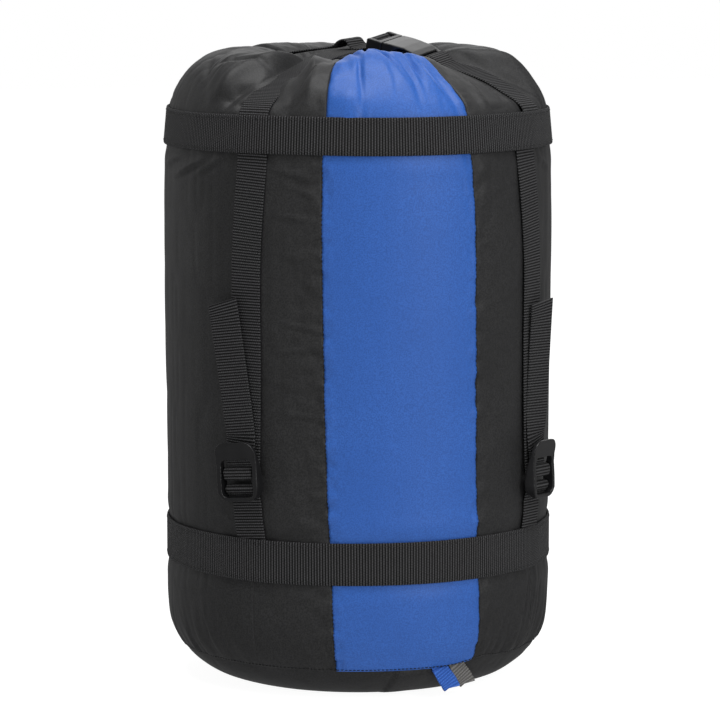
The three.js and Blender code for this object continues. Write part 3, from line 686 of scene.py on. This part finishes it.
# Folds in the top: angle and radius, then as for the wall.
TOP_FOLDS = [
    (-9, 66, 3.2, 13, 26, 0), (-27, 72, -4.2, 10, 24, 0), (-18, 110.5, 2.4, 9, 5, 0),
    (-12, 101, -1.4, 11, 5, 0), (-14.5, 96, -2, 1.5, 17, -4), (-17, 72, -2.3, 1.5, 11, -20),
    (-11.5, 66, -2.6, 1.3, 10, 8), (-3.3, 80, -3.2, 1.5, 13, -26), (-1, 92, 1, 3, 14, -14),
    (3, 92, -1.6, 1.6, 14, -8), (7.3, 84, -3.2, 1.6, 14, 2), (10, 90, 1.5, 3, 14, 0),
    (12.6, 92, -2.5, 1.5, 15, -16), (15.6, 100, -1.7, 1.5, 13, -8), (-20, 84, -1, 2.2, 12, -14),
    (-30, 104, 1.8, 4.5, 10, 10), (-36, 111, -2, 2.2, 7, 72), (-34, 94, -1.6, 2, 14, 20),
    (-41, 92, 3, 5, 12, 0), (-54.5, 90, 3.4, 5, 13, 0), (-57, 104, -3.4, 2.4, 8, 26),
    (-52.5, 108, -2.4, 2, 5, 70), (-62.5, 103, 2.2, 3.8, 8, 10), (-61, 110, -2, 2.2, 8, 80),
    (-65, 88, -2.6, 2, 13, 62), (-70, 94, 1.6, 5, 16, -30), (-80, 98, -1.6, 2.2, 18, -60),
    (-84, 88, -1.4, 3, 20, -48), (28, 104, 1.6, 4.5, 14, 10), (31, 98, -1.2, 2, 14, 14),
    (36, 96, 1.2, 3.5, 12, 0), (58, 100, -2.2, 2.2, 12, -18), (64, 94, 2, 4.5, 14, -10),
    (72, 86, -2, 2.4, 14, 20), (80, 96, -1.4, 2.6, 14, 24),
]


def top_relief(angle, r, along):
    """How far the top stands out from its plain line. along runs from 0 at its seam to 1 at the mouth."""
    u = angle / 360
    free = 1 - valley_share(angle, r)
    relief = (1.3 * noise(u, along, 11, 4, 31) + 0.7 * noise(u + 0.1 * along, along, 26, 6, 32)) * free
    relief *= smooth(along, 0.08, 0.3)
    # pleats that run in to the mouth, growing as the cloth is drawn together
    drawn = smooth(r, 84, 30)
    pleats = ridges(u + 0.012 * noise(u, along, 6, 3, 33), along, 44, 2, 34) - 0.5
    small = ridges(u, along, 88, 4, 35) - 0.5
    relief += drawn * (2.6 * pleats + 0.9 * small) * smooth(r, 16, 26)
    long_pleats = ridges(u + 0.02 * noise(u, along, 5, 3, 36), along, 60, 3, 37) - 0.5
    relief += 0.9 * long_pleats * smooth(along, 0.12, 0.4) * (0.35 + 0.65 * free)
    hairline = ridges(u + 0.008 * noise(u, along, 9, 4, 43), along, 150, 4, 44) - 0.5
    relief += (0.35 + 0.35 * blue_share(angle)) * hairline * smooth(along, 0.1, 0.3)
    # tucks just above the upper ring
    tucks = ridges(u, along, 110, 12, 38) - 0.5
    relief += 0.7 * tucks * hill(along - 0.12, 0.1) * (1 - 0.6 * blue_share(angle))
    for at_angle, at_r, *shape in TOP_FOLDS:
        relief += crease(panel_distance(angle, at_angle, r), at_r - r, *shape)
    for edge in (PANEL_LEFT, PANEL_RIGHT):
        away = panel_distance(angle, edge, r)
        relief += groove(away, 0.7, 1.2) * (r > 30)
        relief += 0.35 * noise(u * 6, along, 36, 40, 39) * np.exp(-np.abs(away) / 8)
    return relief * smooth(along, 0, 0.07)


def top_grid():
    crest, _ = route(TOP_CREST, count=TOP_ROWS)
    valley, _ = route(TOP_VALLEY, count=TOP_ROWS)
    angle = np.broadcast_to(ANGLES, (TOP_ROWS, len(ANGLES)))
    middle = (crest + valley) / 2
    share = valley_share(angle, np.broadcast_to(middle[:, :1], angle.shape))
    r = crest[:, :1] * (1 - share) + valley[:, :1] * share
    z = crest[:, 1:] * (1 - share) + valley[:, 1:] * share
    plain = around(wandered(angle, z), r, z)
    along = np.broadcast_to(np.linspace(0, 1, TOP_ROWS)[:, None], angle.shape)
    out = grid_normals(plain)
    return plain + out * top_relief(angle, r, along)[..., None]


def cloth_panel(name, points, columns, material, v0=0):
    """One sewn panel of a grid [rows, columns, 3], with its side edges turned in."""
    part = points[:, columns]
    inward = -grid_normals(part)
    left = part[:, :1] + inward[:, :1] * TURN_IN
    right = part[:, -1:] + inward[:, -1:] * TURN_IN
    part = np.concatenate([left, part, right], axis=1)
    rows, count = part.shape[:2]
    u = np.radians(ANGLES[columns]) * WALL_RADIUS
    u = np.array([u[0] - TURN_IN, *u, u[-1] + TURN_IN])
    v = v0 + lengths_along(part[:, count // 2])
    uv = np.stack(np.broadcast_arrays(u[None, :], v[:, None]), axis=-1)
    return new_object(name, part, grid_faces(rows, count), material, uv)


wall = body_points(seam_place(), np.ones(len(ANGLES)), WALL_ROWS, wall_relief)
top = top_grid()


def make_panels():
    """The four panels of the wall, then the two of the top."""
    left, right, strap_right, strap_left, end = SEAM_COLUMNS
    sides = [
        ("front", left, right, blue_cloth, "blue_cloth"),
        ("right", right, strap_right, black_cloth, "black_cloth"),
        ("back", strap_right, strap_left, black_cloth, "black_cloth"),
        ("left", strap_left, end, black_cloth, "black_cloth"),
    ]
    for side, first, last, cloth, slot in sides:
        panel = cloth_panel(f"wall_{side}", wall, slice(first, last + 1), cloth)
        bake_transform(panel)
        stand_for(panel, f"{side}_panel")
    blue = cloth_panel("top_blue", top, slice(left, right + 1), blue_cloth, 340)
    stand_for(blue, "top_blue_gore", "top")
    black = cloth_panel("top_black", top, slice(right, end + 1), black_cloth, 340)
    stand_for(black, "top_black_cloth", "top")


def make_base():
    """The round base panel: flat where it stands, gathered a little at its seam."""
    points = body_points(np.zeros(len(ANGLES)), seam_place(), BASE_ROWS, base_relief)
    faces = grid_faces(*points.shape[:2])
    base = new_object("base_cloth", points, faces, black_cloth, points[..., :2])
    stand_for(base, "base_panel", "base")


def make_filling():
    """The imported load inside: lumpy, and seen only down the open mouth."""
    rows, columns = 90, 145
    line = [corner(a, 3.5) for a in (0, 15, 30, 45, 60, 75, 90)]
    line = [[0, 3.5], [40, 3.5], *line, [112, 120], [112, 322], [108.5, 340], [99, 348], [84, 354]]
    line, _ = route([*line, [62, 357.5], [40, 355.5], [20, 352.4], [0, 351.5]], count=rows)
    angle = np.broadcast_to(np.linspace(0, 360, columns), (rows, columns))
    u = angle / 360
    v = np.broadcast_to(np.linspace(0, 1, rows)[:, None], angle.shape)
    dent = 1.6 * (ridges(u, v, 14, 9, 61) - 1) + 0.8 * (ridges(u, v, 40, 24, 62) - 1)
    r, z = line[:, :1] + dent, np.broadcast_to(line[:, 1:], angle.shape)
    points = around(angle, np.maximum(r, 0), z)
    uv = np.stack([u * 700, v * 700], axis=-1)
    filling = new_object("filling", points, grid_faces(rows, columns), filling_cloth, uv)
    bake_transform(filling)
    stand_for(filling, "packed_filling")


make_panels()
make_base()
make_filling()


# ---- webbing ----
def webbing_section(width, thick):
    """The rounded outline of webbing: pairs (across, out)."""
    side = [(-0.5, 0), (-0.494, 0.28), (-0.475, 0.44), (-0.44, 0.5), (-0.3, 0.5), (-0.15, 0.5), (0, 0.5)]
    top_side = side + [(-a, b) for a, b in side[-2::-1]]
    loop = top_side + [(a, -b) for a, b in top_side[-2:0:-1]]
    return np.array(loop) * (width, thick)


def webbing_piece(
    name, centre, across, width=STRAP_WIDTH, thick=WEB, closed=False, slant=0, material=webbing_cloth
):
    """Webbing along centre, [n, 3], with its width along across. slant tilts the cut of its far end."""
    tangent = tangents(centre, closed)
    across = unit(across - (across * tangent).sum(1, keepdims=True) * tangent)
    out = np.cross(tangent, across)
    section = webbing_section(width, thick)
    section = np.concatenate([section, section[:1]])
    points = centre[:, None] + section[:, :1] * across[:, None] + section[:, 1:] * out[:, None]
    along = lengths_along(centre)
    if slant:
        ramp = smooth(along, along[-1] - 16, along[-1])[:, None] * section[:, 0] * slant
        points = points + ramp[..., None] * tangent[:, None]
    if closed:
        points = np.concatenate([points, points[:1]])
        gap = np.linalg.norm(centre[0] - centre[-1])
        along = np.append(along, along[-1] + gap)
        along *= RIB_PITCH * round(along[-1] / RIB_PITCH) / along[-1]
    size = points.shape[:2]
    faces = grid_faces(*size) + ([] if closed else end_faces(*size))
    return new_object(name, points, faces, material, uv_grid(along, section[:, 0]))


ANCHOR_RADIUS = 116


def anchor_angle(strap, z):
    """The angle of a strap's lower end at a height, in line with the leaning lock."""
    shift = (strap["lock_z"] - z) * tan(radians(strap["lean"]))
    return strap["lock"] + np.degrees(shift / ANCHOR_RADIUS)


def strap_rise(angle, over, lift):
    """How far a ring of webbing stands out over the straps at the angles in over."""
    rise = np.zeros(np.shape(angle))
    for at in over:
        away = np.abs(panel_distance(angle, at))
        rise = np.maximum(rise, lift * (1 - smooth(away, STRAP_WIDTH / 2 - 2, STRAP_WIDTH / 2 + 13)))
    return rise


def stitches(name, line, pitch=2.7, length=1.7, thick=0.34, drop=0):
    """Stitches laid end to end along a line: small round-ended floats of thread. drop tips them down."""
    along = lengths_along(line)
    stops = np.arange(pitch / 2, along[-1], pitch)
    mid, run, up = (
        np.stack([np.interp(stops, along, column) for column in values.T], axis=-1)
        for values in (line, np.gradient(line, axis=0), line * (1, 1, 0) - (0, 0, drop))
    )
    run, up = unit(run), unit(up)
    side = np.cross(run, up)
    sides = 6
    shape = [(-0.5, 0.25, -0.5), (-0.3, 0.9, 0.3), (0, 1, 0.45), (0.3, 0.9, 0.3), (0.5, 0.25, -0.5)]
    rings = [
        mid + run * reach * length + ((side * cos(a) + up * sin(a)) * girth + up * rise) * 0.5 * thick
        for reach, girth, rise in shape
        for a in (2 * pi * k / sides for k in range(sides))
    ]
    points = np.stack(rings, axis=1)
    size = len(shape) * sides
    edges = [(i + k, i + (k + 1) % sides) for i in range(0, size - sides, sides) for k in range(sides)]
    starts = range(0, size * len(stops), size)
    faces = [(s + a, s + b, s + b + sides, s + a + sides) for s in starts for a, b in edges]
    return new_object(name, points, faces, black_thread)


RING_THICKNESS = 1.5
STITCH_INSET = 2


def make_ring(name, node, body, edges, radii, over, lift, seed):
    """A ring of webbing sewn round the sack, with a row of stitches along each edge."""
    angle = np.arange(0, 360, 0.5)
    u = angle / 360
    wobble = 0.22 * noise(u, u * 0, 17, 1, seed)
    swing = 0.4 * noise(u, u * 0, 9, 1, seed + 1)
    radius = sum(radii) / 2 + wobble + strap_rise(angle, over, lift)
    height = sum(edges) / 2 + swing
    half = (edges[1] - edges[0]) / 2
    lean = (radii[1] - radii[0]) / 2
    middle = around(angle, radius, height)
    across = around(angle, lean, half)
    ring = webbing_piece(name, middle, -across, 2 * hypot(half, lean), RING_THICKNESS, closed=True)
    stand_for(ring, node, body)
    for row, share in (("bottom", -1), ("top", 1)):
        inset = share * (1 - STITCH_INSET / half)
        line = around(angle, radius + lean * inset + RING_THICKNESS / 2, height + half * inset)
        seam = stitches(f"{name}_stitches_{row}", np.concatenate([line, line[:1]]))
        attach(seam, body)


lower_over = [anchor_angle(strap, sum(LOWER_BAND) / 2) for strap in STRAPS.values()]
upper_over = [strap["path"][-1] for strap in STRAPS.values()]
make_ring("ring_lower", "lower_band", "base", LOWER_BAND, (115.6, 115.6), lower_over, 0.9, 51)
make_ring("ring_upper", "upper_band", "top", UPPER_BAND, (116.2, 114.2), upper_over, 0.9, 53)


def lock_frame(strap):
    """A lock's own frame: its middle, and its X along the bar, Y out of the sack and Z up."""
    turn = radians(strap["lock"] + 180)
    lean = radians(strap["lean"])
    x = np.array([cos(lean) * cos(turn), cos(lean) * sin(turn), -sin(lean)])
    z = np.array([sin(lean) * cos(turn), sin(lean) * sin(turn), cos(lean)])
    y = np.array([-sin(turn), cos(turn), 0])
    return around(strap["lock"], LOCK_RADIUS, strap["lock_z"]), x, y, z


def lock_points(strap, pairs):
    """Points (y, z) of a lock's middle plane, in the sack's frame."""
    middle, _, y, z = lock_frame(strap)
    return np.array([middle + y * a + z * b for a, b in pairs])


def make_main_strap(name, strap):
    """From behind the lock's middle bar up the wall, and under the upper ring."""
    low = strap["lock_z"] + MIDDLE_BAR_RISE
    stations = [(low, 117.6), (low + 14, 117.3), (200, 117.4), (260, 117.6), (298, 117.3)]
    heights = (low, 175, 262, 312)
    places = []
    for z, r in [*stations, (317, 116), (338, 114.2)]:
        at = hermite(np.array([z]), heights, strap["path"])[0] if z < heights[-1] else strap["path"][-1]
        places.append(around(at, r, z))
    centre, _ = route(places, step=1.6)
    facing = np.degrees(np.arctan2(centre[:, 0], -centre[:, 1]))
    piece = webbing_piece(f"strap_main_{name}", centre, around(facing + 90, 1, 0))
    stand_for(piece, f"main_strap_{name}", "base")
    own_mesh(piece)


def make_anchor_web(name, strap):
    """Sewn under the lower ring, up and round the lock's lower bar."""
    _, x, _, _ = lock_frame(strap)
    loop = 2.3
    rise = [(114.9, 82), (115.1, 93), (115.9, 100), (116.5, 108)]
    under = [around(anchor_angle(strap, z), r, z) for r, z in rise]
    turn = [(-4, -9.5), (-2.9, -3.8)]
    turn += [(loop * cos(radians(a)), loop * sin(radians(a))) for a in (180, 135, 90, 45, 0, -45)]
    turn += [(0.4, -3.2), (-1.2, -6)]
    centre, _ = route([*under, *lock_points(strap, turn)], step=0.8)
    piece = webbing_piece(f"strap_anchor_{name}", centre, -x)
    still, turning = lock_points(strap, [(-3.9, -9), (-2.9, -3.4)]) / 1000
    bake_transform(piece)
    stand_for(piece, f"anchor_web_{name}")


def make_adjuster_loop(name, strap):
    """Out from the main strap, over the lock's middle bar and in under its tab."""
    _, x, _, _ = lock_frame(strap)
    pairs = [(-2.6, 9.6), (-2.55, 7.6), (-1.6, 6), (0.8, 5.6), (2.3, 6.2), (2.9, 7.6), (2.9, 10.4)]
    pairs += [(2.2, 11.7), (0.8, 12.3), (-0.8, 13.2), (-1.2, 15.6)]
    centre, _ = route(lock_points(strap, pairs), step=0.7)
    piece = webbing_piece(f"strap_loop_{name}", centre, -x)
    stand_for(piece, f"adjuster_loop_{name}", f"lock_{name}")


def make_tail(name, strap):
    """The free end: up behind the tab and a little away from the sack."""
    _, x, y, _ = lock_frame(strap)
    rise = radians(TAIL_OUTWARD)
    start = np.array([-1.2, 15.6])
    pairs = []
    for share in np.linspace(0, 1, 9):
        reach = TAIL_LENGTH * share
        bow = 0.5 * sin(pi * share)
        pairs.append(start + [reach * sin(rise) - bow, reach * cos(rise)])
    centre, _ = route(lock_points(strap, pairs), step=1.6)
    share = np.linspace(0, 1, len(centre))[:, None]
    low, high = strap["sway"]
    centre = centre + x * (low * smooth(share, 0.02, 0.18) * (1 - share) + high * share ** 1.4)
    turn = np.radians(strap["twist"]) * smooth(share, 0.05, 0.35)
    across = -x * np.cos(turn) - y * np.sin(turn)
    piece = webbing_piece(f"strap_free_end_{name}", centre, across, slant=TAIL_CUT)
    start_point, end_point = lock_points(strap, [(-1.2, 24), (1, 90)]) / 1000
    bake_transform(piece)
    stand_for(piece, f"strap_tail_{name}")


for strap_name, strap in STRAPS.items():
    make_main_strap(strap_name, strap)
    make_anchor_web(strap_name, strap)
    make_adjuster_loop(strap_name, strap)
    make_tail(strap_name, strap)


# ---- straps over the top ----
OUT = around(STRAP_ANGLE, 1, 0)
ACROSS = np.cross([0, 0, 1], OUT)


def turned_about(v, axis, degrees):
    """A vector turned about a unit axis."""
    a = radians(degrees)
    return v * cos(a) + np.cross(axis, v) * sin(a) + axis * np.dot(axis, v) * (1 - cos(a))


BUCKLE_X = turned_about(OUT, ACROSS, BUCKLE_SLOPE)
BUCKLE_Y = turned_about(ACROSS, BUCKLE_X, BUCKLE_ROLL)
BUCKLE_UP = np.cross(BUCKLE_X, BUCKLE_Y)
BUCKLE_ORIGIN = around(STRAP_ANGLE, BUCKLE_OUT, BUCKLE_Z)

# Radius and height of each strap where it comes out from under the upper ring.
SHOULDER = [(114.6, 331), (114.2, 340), (113.3, 345.2)]


def buckle_point(x, z):
    """A point of the buckle's middle plane, in the sack's frame."""
    return BUCKLE_ORIGIN + BUCKLE_X * x + BUCKLE_UP * z


def top_point(out, z):
    """A point above the line of the buckle's strap. out is below 0 at the back left."""
    return around(STRAP_ANGLE, out, z)


def make_cross_strap():
    """One length from the front left to the back right, under the buckle's strap."""
    half = [*SHOULDER, (109, 349.8), (99, 355.6), (85, 361.4), (67, 367.6)]
    half += [(52, 371.6), (30, 375), (12, 376.2)]
    places = [around(-STRAP_ANGLE, r, z) for r, z in half]
    places += [around(-STRAP_ANGLE, -r, z) for r, z in half[::-1]]
    centre, _ = route(places, step=1.6)
    piece = webbing_piece("strap_cross", centre, around(90 - STRAP_ANGLE, 1, 0))
    stand_for(piece, "cross_strap", "top")


def make_back_left_strap():
    climb = [*SHOULDER, (109, 350), (99, 356), (85, 362), (67, 368.4), (48, 373.2), (28, 376.4)]
    hump = [(16, 377.9), (11.5, 379.2), (9, 381.6), (6, 383), (3, 382.6), (1.2, 380.4)]
    hump += [(-1, 378.6), (-6, 378.3)]
    loop = 2.5
    places = [top_point(-r, z) for r, z in climb + hump]
    for degrees in (-90, -45, 0, 45, 90, 130):
        a = radians(degrees)
        places.append(buckle_point(MALE_BAR_X + loop * cos(a), loop * sin(a)))
    centre, stops = route(places, step=0.8)
    share = smooth(np.linspace(0, 1, len(centre)), stops[len(climb)], stops[-6])[:, None]
    piece = webbing_piece("strap_back_left", centre, ACROSS * (1 - share) + BUCKLE_Y * share)
    top_point(-70, 367) / 1000
    top_point(4, 380) / 1000
    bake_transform(piece)
    stand_for(piece, "top_strap_back_left")


def make_front_right_strap():
    wrap = [(39, -1.4), (35.6, -2.3), (31.5, -2.7), (28.4, -2.4), (27.4, -0.6), (27.5, 1.6)]
    wrap += [(28.4, 2.9), (30, 3.2), (33, 2.9), (36, 1.9), (40, 0.5)]
    fall = [(76, 365.6), (88, 361), (99, 355), (109, 349.2), *SHOULDER[::-1]]
    places = [buckle_point(x, z) for x, z in wrap] + [top_point(r, z) for r, z in fall]
    centre, stops = route(places, step=0.8)
    share = smooth(np.linspace(0, 1, len(centre)), stops[len(wrap) - 1], stops[len(wrap) + 2])[:, None]
    piece = webbing_piece("strap_front_right", centre, BUCKLE_Y * (1 - share) + ACROSS * share)
    stand_for(piece, "top_strap_front_right", "top")


make_cross_strap()
make_back_left_strap()
make_front_right_strap()


# ---- moulded plastic ----
def moulded(name, node, body, voxel=0.32):
    """A moulding with the CAD node's shape and softly rounded edges."""
    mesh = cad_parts[node].data.copy()
    mesh.materials.clear()
    piece = linked(name, mesh)
    remesh = piece.modifiers.new("remesh", "REMESH")
    remesh.mode = "VOXEL"
    remesh.voxel_size = voxel / 1000
    relax = piece.modifiers.new("relax", "SMOOTH")
    relax.factor = 0.5
    relax.iterations = 12
    evaluated = piece.evaluated_get(bpy.context.evaluated_depsgraph_get())
    finished = bpy.data.meshes.new_from_object(evaluated)
    piece.modifiers.clear()
    piece.data = finished
    finished.polygons.foreach_set("use_smooth", [True] * len(finished.polygons))
    finished.materials.clear()
    finished.materials.append(black_plastic)
    stand_for(piece, node, body)


for strap_name in STRAPS:
    moulded(f"lock_{strap_name}_moulding", f"ladder_lock_{strap_name}", f"lock_{strap_name}")
moulded("buckle_housing", "buckle_female", "top")
moulded("buckle_insert", "buckle_male", "buckle_male")
moulded("buckle_arm_near", "latch_arm_near", "arm_near", 0.25)
moulded("buckle_arm_far", "latch_arm_far", "arm_far", 0.25)
moulded("cord_lock_body", "cord_lock_barrel", "top", 0.3)
moulded("cord_lock_button", "cord_lock_plunger", "plunger", 0.3)


# ---- mouth hem, drawcord and cord lock ----
HEM_GAP = 20
HEM_RADIUS = 12.3
HEM_HALF_WIDTH = 5.2
CORD_LOCK_Y = 31
CORD_LOCK_Z = 368.6
CORD_RADIUS = 1.1
CORD_LEG_X = 1.35
CORD_END_Y = 40
KNOT_SIZE = 0.52
KNOT_STRAND_RADIUS = 0.72
COIL_RADIUS = 2.6
WIRE_RADIUS = 0.3


def swept(name, rings, material):
    """A closed solid through rings of points, [n, m, 3]."""
    rings = np.concatenate([rings, rings[:, :1]], axis=1)
    size = rings.shape[:2]
    uv = uv_grid(lengths_along(rings[:, 0]), lengths_along(rings[0]))
    return new_object(name, rings, grid_faces(*size) + end_faces(*size), material, uv)


def rings_round(line, tangent, side, radius, degrees):
    """Rings of points round a line. side points to the first of each ring."""
    up = np.cross(side, tangent)[:, None]
    a = np.radians(degrees)[:, None]
    return line[:, None] + radius * (side[:, None] * np.cos(a) + up * np.sin(a))


def make_hem():
    """The hem round the mouth, drawn up into pleats by the cord inside it. It is open at the back."""
    angle = np.linspace(-180 + HEM_GAP, 180 - HEM_GAP, 321)
    pleat = ridges(angle / 360, angle * 0, 38, 1, 71) - 0.5
    small = ridges(angle / 360, angle * 0, 90, 1, 72) - 0.5
    section = [(7.4, 358.6), (7.2, 362.6), (8, 366), (10.4, 367.4), (13.6, 367.6), (16.2, 366.2)]
    section += [(17.4, 362.6), (17.4, 358.6), (16.2, 358.5), (15.9, 362.2), (14.8, 364.9), (12.4, 366.1)]
    section += [(10.2, 365.6), (8.9, 362.4), (8.6, 358.5)]
    section, _ = route([*section, section[0]], count=46)
    section = section[:-1]
    outward = (section[:, 0] - HEM_RADIUS) / HEM_HALF_WIDTH
    lift = smooth(section[:, 1], 359, 366)
    out = (1.5 * pleat + 0.5 * small)[:, None]
    rise = (1.3 * pleat + 0.5 * small)[:, None]
    rings = around(angle[:, None], section[:, 0] + outward * out, section[:, 1] + lift * rise)
    hem = swept("mouth_hem_cloth", rings, black_cloth)
    stand_for(hem, "mouth_hem", "top")


def make_drawcord():
    """Round the hem and out at the back through the cord lock, with a stopper knot on each end."""
    leg = [(CORD_LEG_X, y, CORD_LOCK_Z) for y in (CORD_END_Y, 34, 25)]
    leg.append((1.6, 20.5, 366.2))
    loop = [around(a, 12.2, 362.5) for a in range(-165, 166, 30)]
    line, _ = route([*[(-x, y, z) for x, y, z in leg], *loop, *leg[::-1]], step=0.7)
    tangent = tangents(line)
    side = unit(np.cross(tangent, (0, 0, 1)))
    rings = rings_round(line, tangent, side, CORD_RADIUS, np.arange(0, 360, 30))
    cord = swept("drawcord_braid", rings, cord_braid)
    stand_for(cord, "drawcord", "top")
    knots = [make_knot("drawcord_knot_left", -1), make_knot("drawcord_knot_right", 1)]


def make_knot(name, sign):
    """A stopper knot: a short cord tied over itself, drawn tight."""
    centre = np.array([sign * (CORD_LEG_X + 0.9), CORD_END_Y + 0.9, CORD_LOCK_Z])
    t = np.linspace(0, 2 * pi, 81)[:-1]
    knot = np.stack([np.sin(t) + 2 * np.sin(2 * t), np.cos(t) - 2 * np.cos(2 * t), -np.sin(3 * t)], axis=-1)
    line = centre + KNOT_SIZE * knot * (1, 1, 0.9)
    tangent = tangents(line, closed=True)
    side = unit(np.cross(tangent, (0.3, 0.2, 1)))
    rings = rings_round(line, tangent, side, KNOT_STRAND_RADIUS, np.arange(0, 361, 36))
    rows, columns = rings.shape[:2]
    uv = uv_grid(np.arange(rows) * 0.3, np.arange(columns) * 0.45)
    made = new_object(name, rings, grid_faces(rows, columns, wrap=True), cord_braid, uv)
    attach(made, "top")
    return made


def make_spring():
    """The coil inside the cord lock, which pushes its plunger out."""
    turns, start, end = 3.5, -10.2, -5.3
    t = np.linspace(0, 1, 141)
    a = 2 * pi * turns * t
    y, z = CORD_LOCK_Y + COIL_RADIUS * np.cos(a), CORD_LOCK_Z + COIL_RADIUS * np.sin(a)
    line = np.stack([start + (end - start) * t, y, z], axis=-1)
    tangent = tangents(line)
    side = unit(line - (0, CORD_LOCK_Y, CORD_LOCK_Z) - line * (1, 0, 0))
    rings = rings_round(line, tangent, side, WIRE_RADIUS, np.arange(0, 360, 45))
    spring = swept("cord_lock_coil", rings, steel)
    stand_for(spring, "cord_lock_spring", "top")
    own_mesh(spring)


make_hem()
make_drawcord()
make_spring()


# ---- pull tabs in the base seam ----
TAB_WIDTH = 10.2
TAB_THICKNESS = 0.55
TAB_RADIUS = 106.9


def make_tab(name, node, angle, material):
    """A short tape folded over and sewn into the base seam, hanging free at a slant."""
    z = float(base_seam_z(angle))
    front = [(0.2, -1.6, 1.5), (0.3, 0.7, 0.2), (1.4, 1.8, -3.5), (3.2, 2.3, -8.5), (4, 2.2, -11.4)]
    back = [(4.25, 1.6, -12), (4, 1.1, -11.2), (3.1, 1.2, -8.3), (1.3, 0.8, -3.4), (0.2, -2.2, 1)]
    places = [around(angle + turn, TAB_RADIUS + out, z + fall) for turn, out, fall in front + back]
    centre, _ = route(places, step=0.5)
    tab = webbing_piece(name, centre, around(angle + 90, 1, 0), TAB_WIDTH, TAB_THICKNESS, material=material)
    stand_for(tab, node, "base")


make_tab("tab_blue", "pull_tab_blue", 10.8, blue_tape)
make_tab("tab_grey", "pull_tab_grey", 16.6, grey_tape)


# ---- sewing of the cloth panels ----
def make_seam_stitches():
    """Dark stitches down both edges of the blue panel, and round the base seam."""
    for name, column in (("left", SEAM_COLUMNS[0]), ("right", SEAM_COLUMNS[1])):
        seam = stitches(f"blue_seam_{name}_stitches", wall[:, column], thick=0.5)
        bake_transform(seam)
    seam = stitches("base_seam_stitches", wall[1], 2.4, 2, 0.6, drop=60)
    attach(seam, "base")


make_seam_stitches()
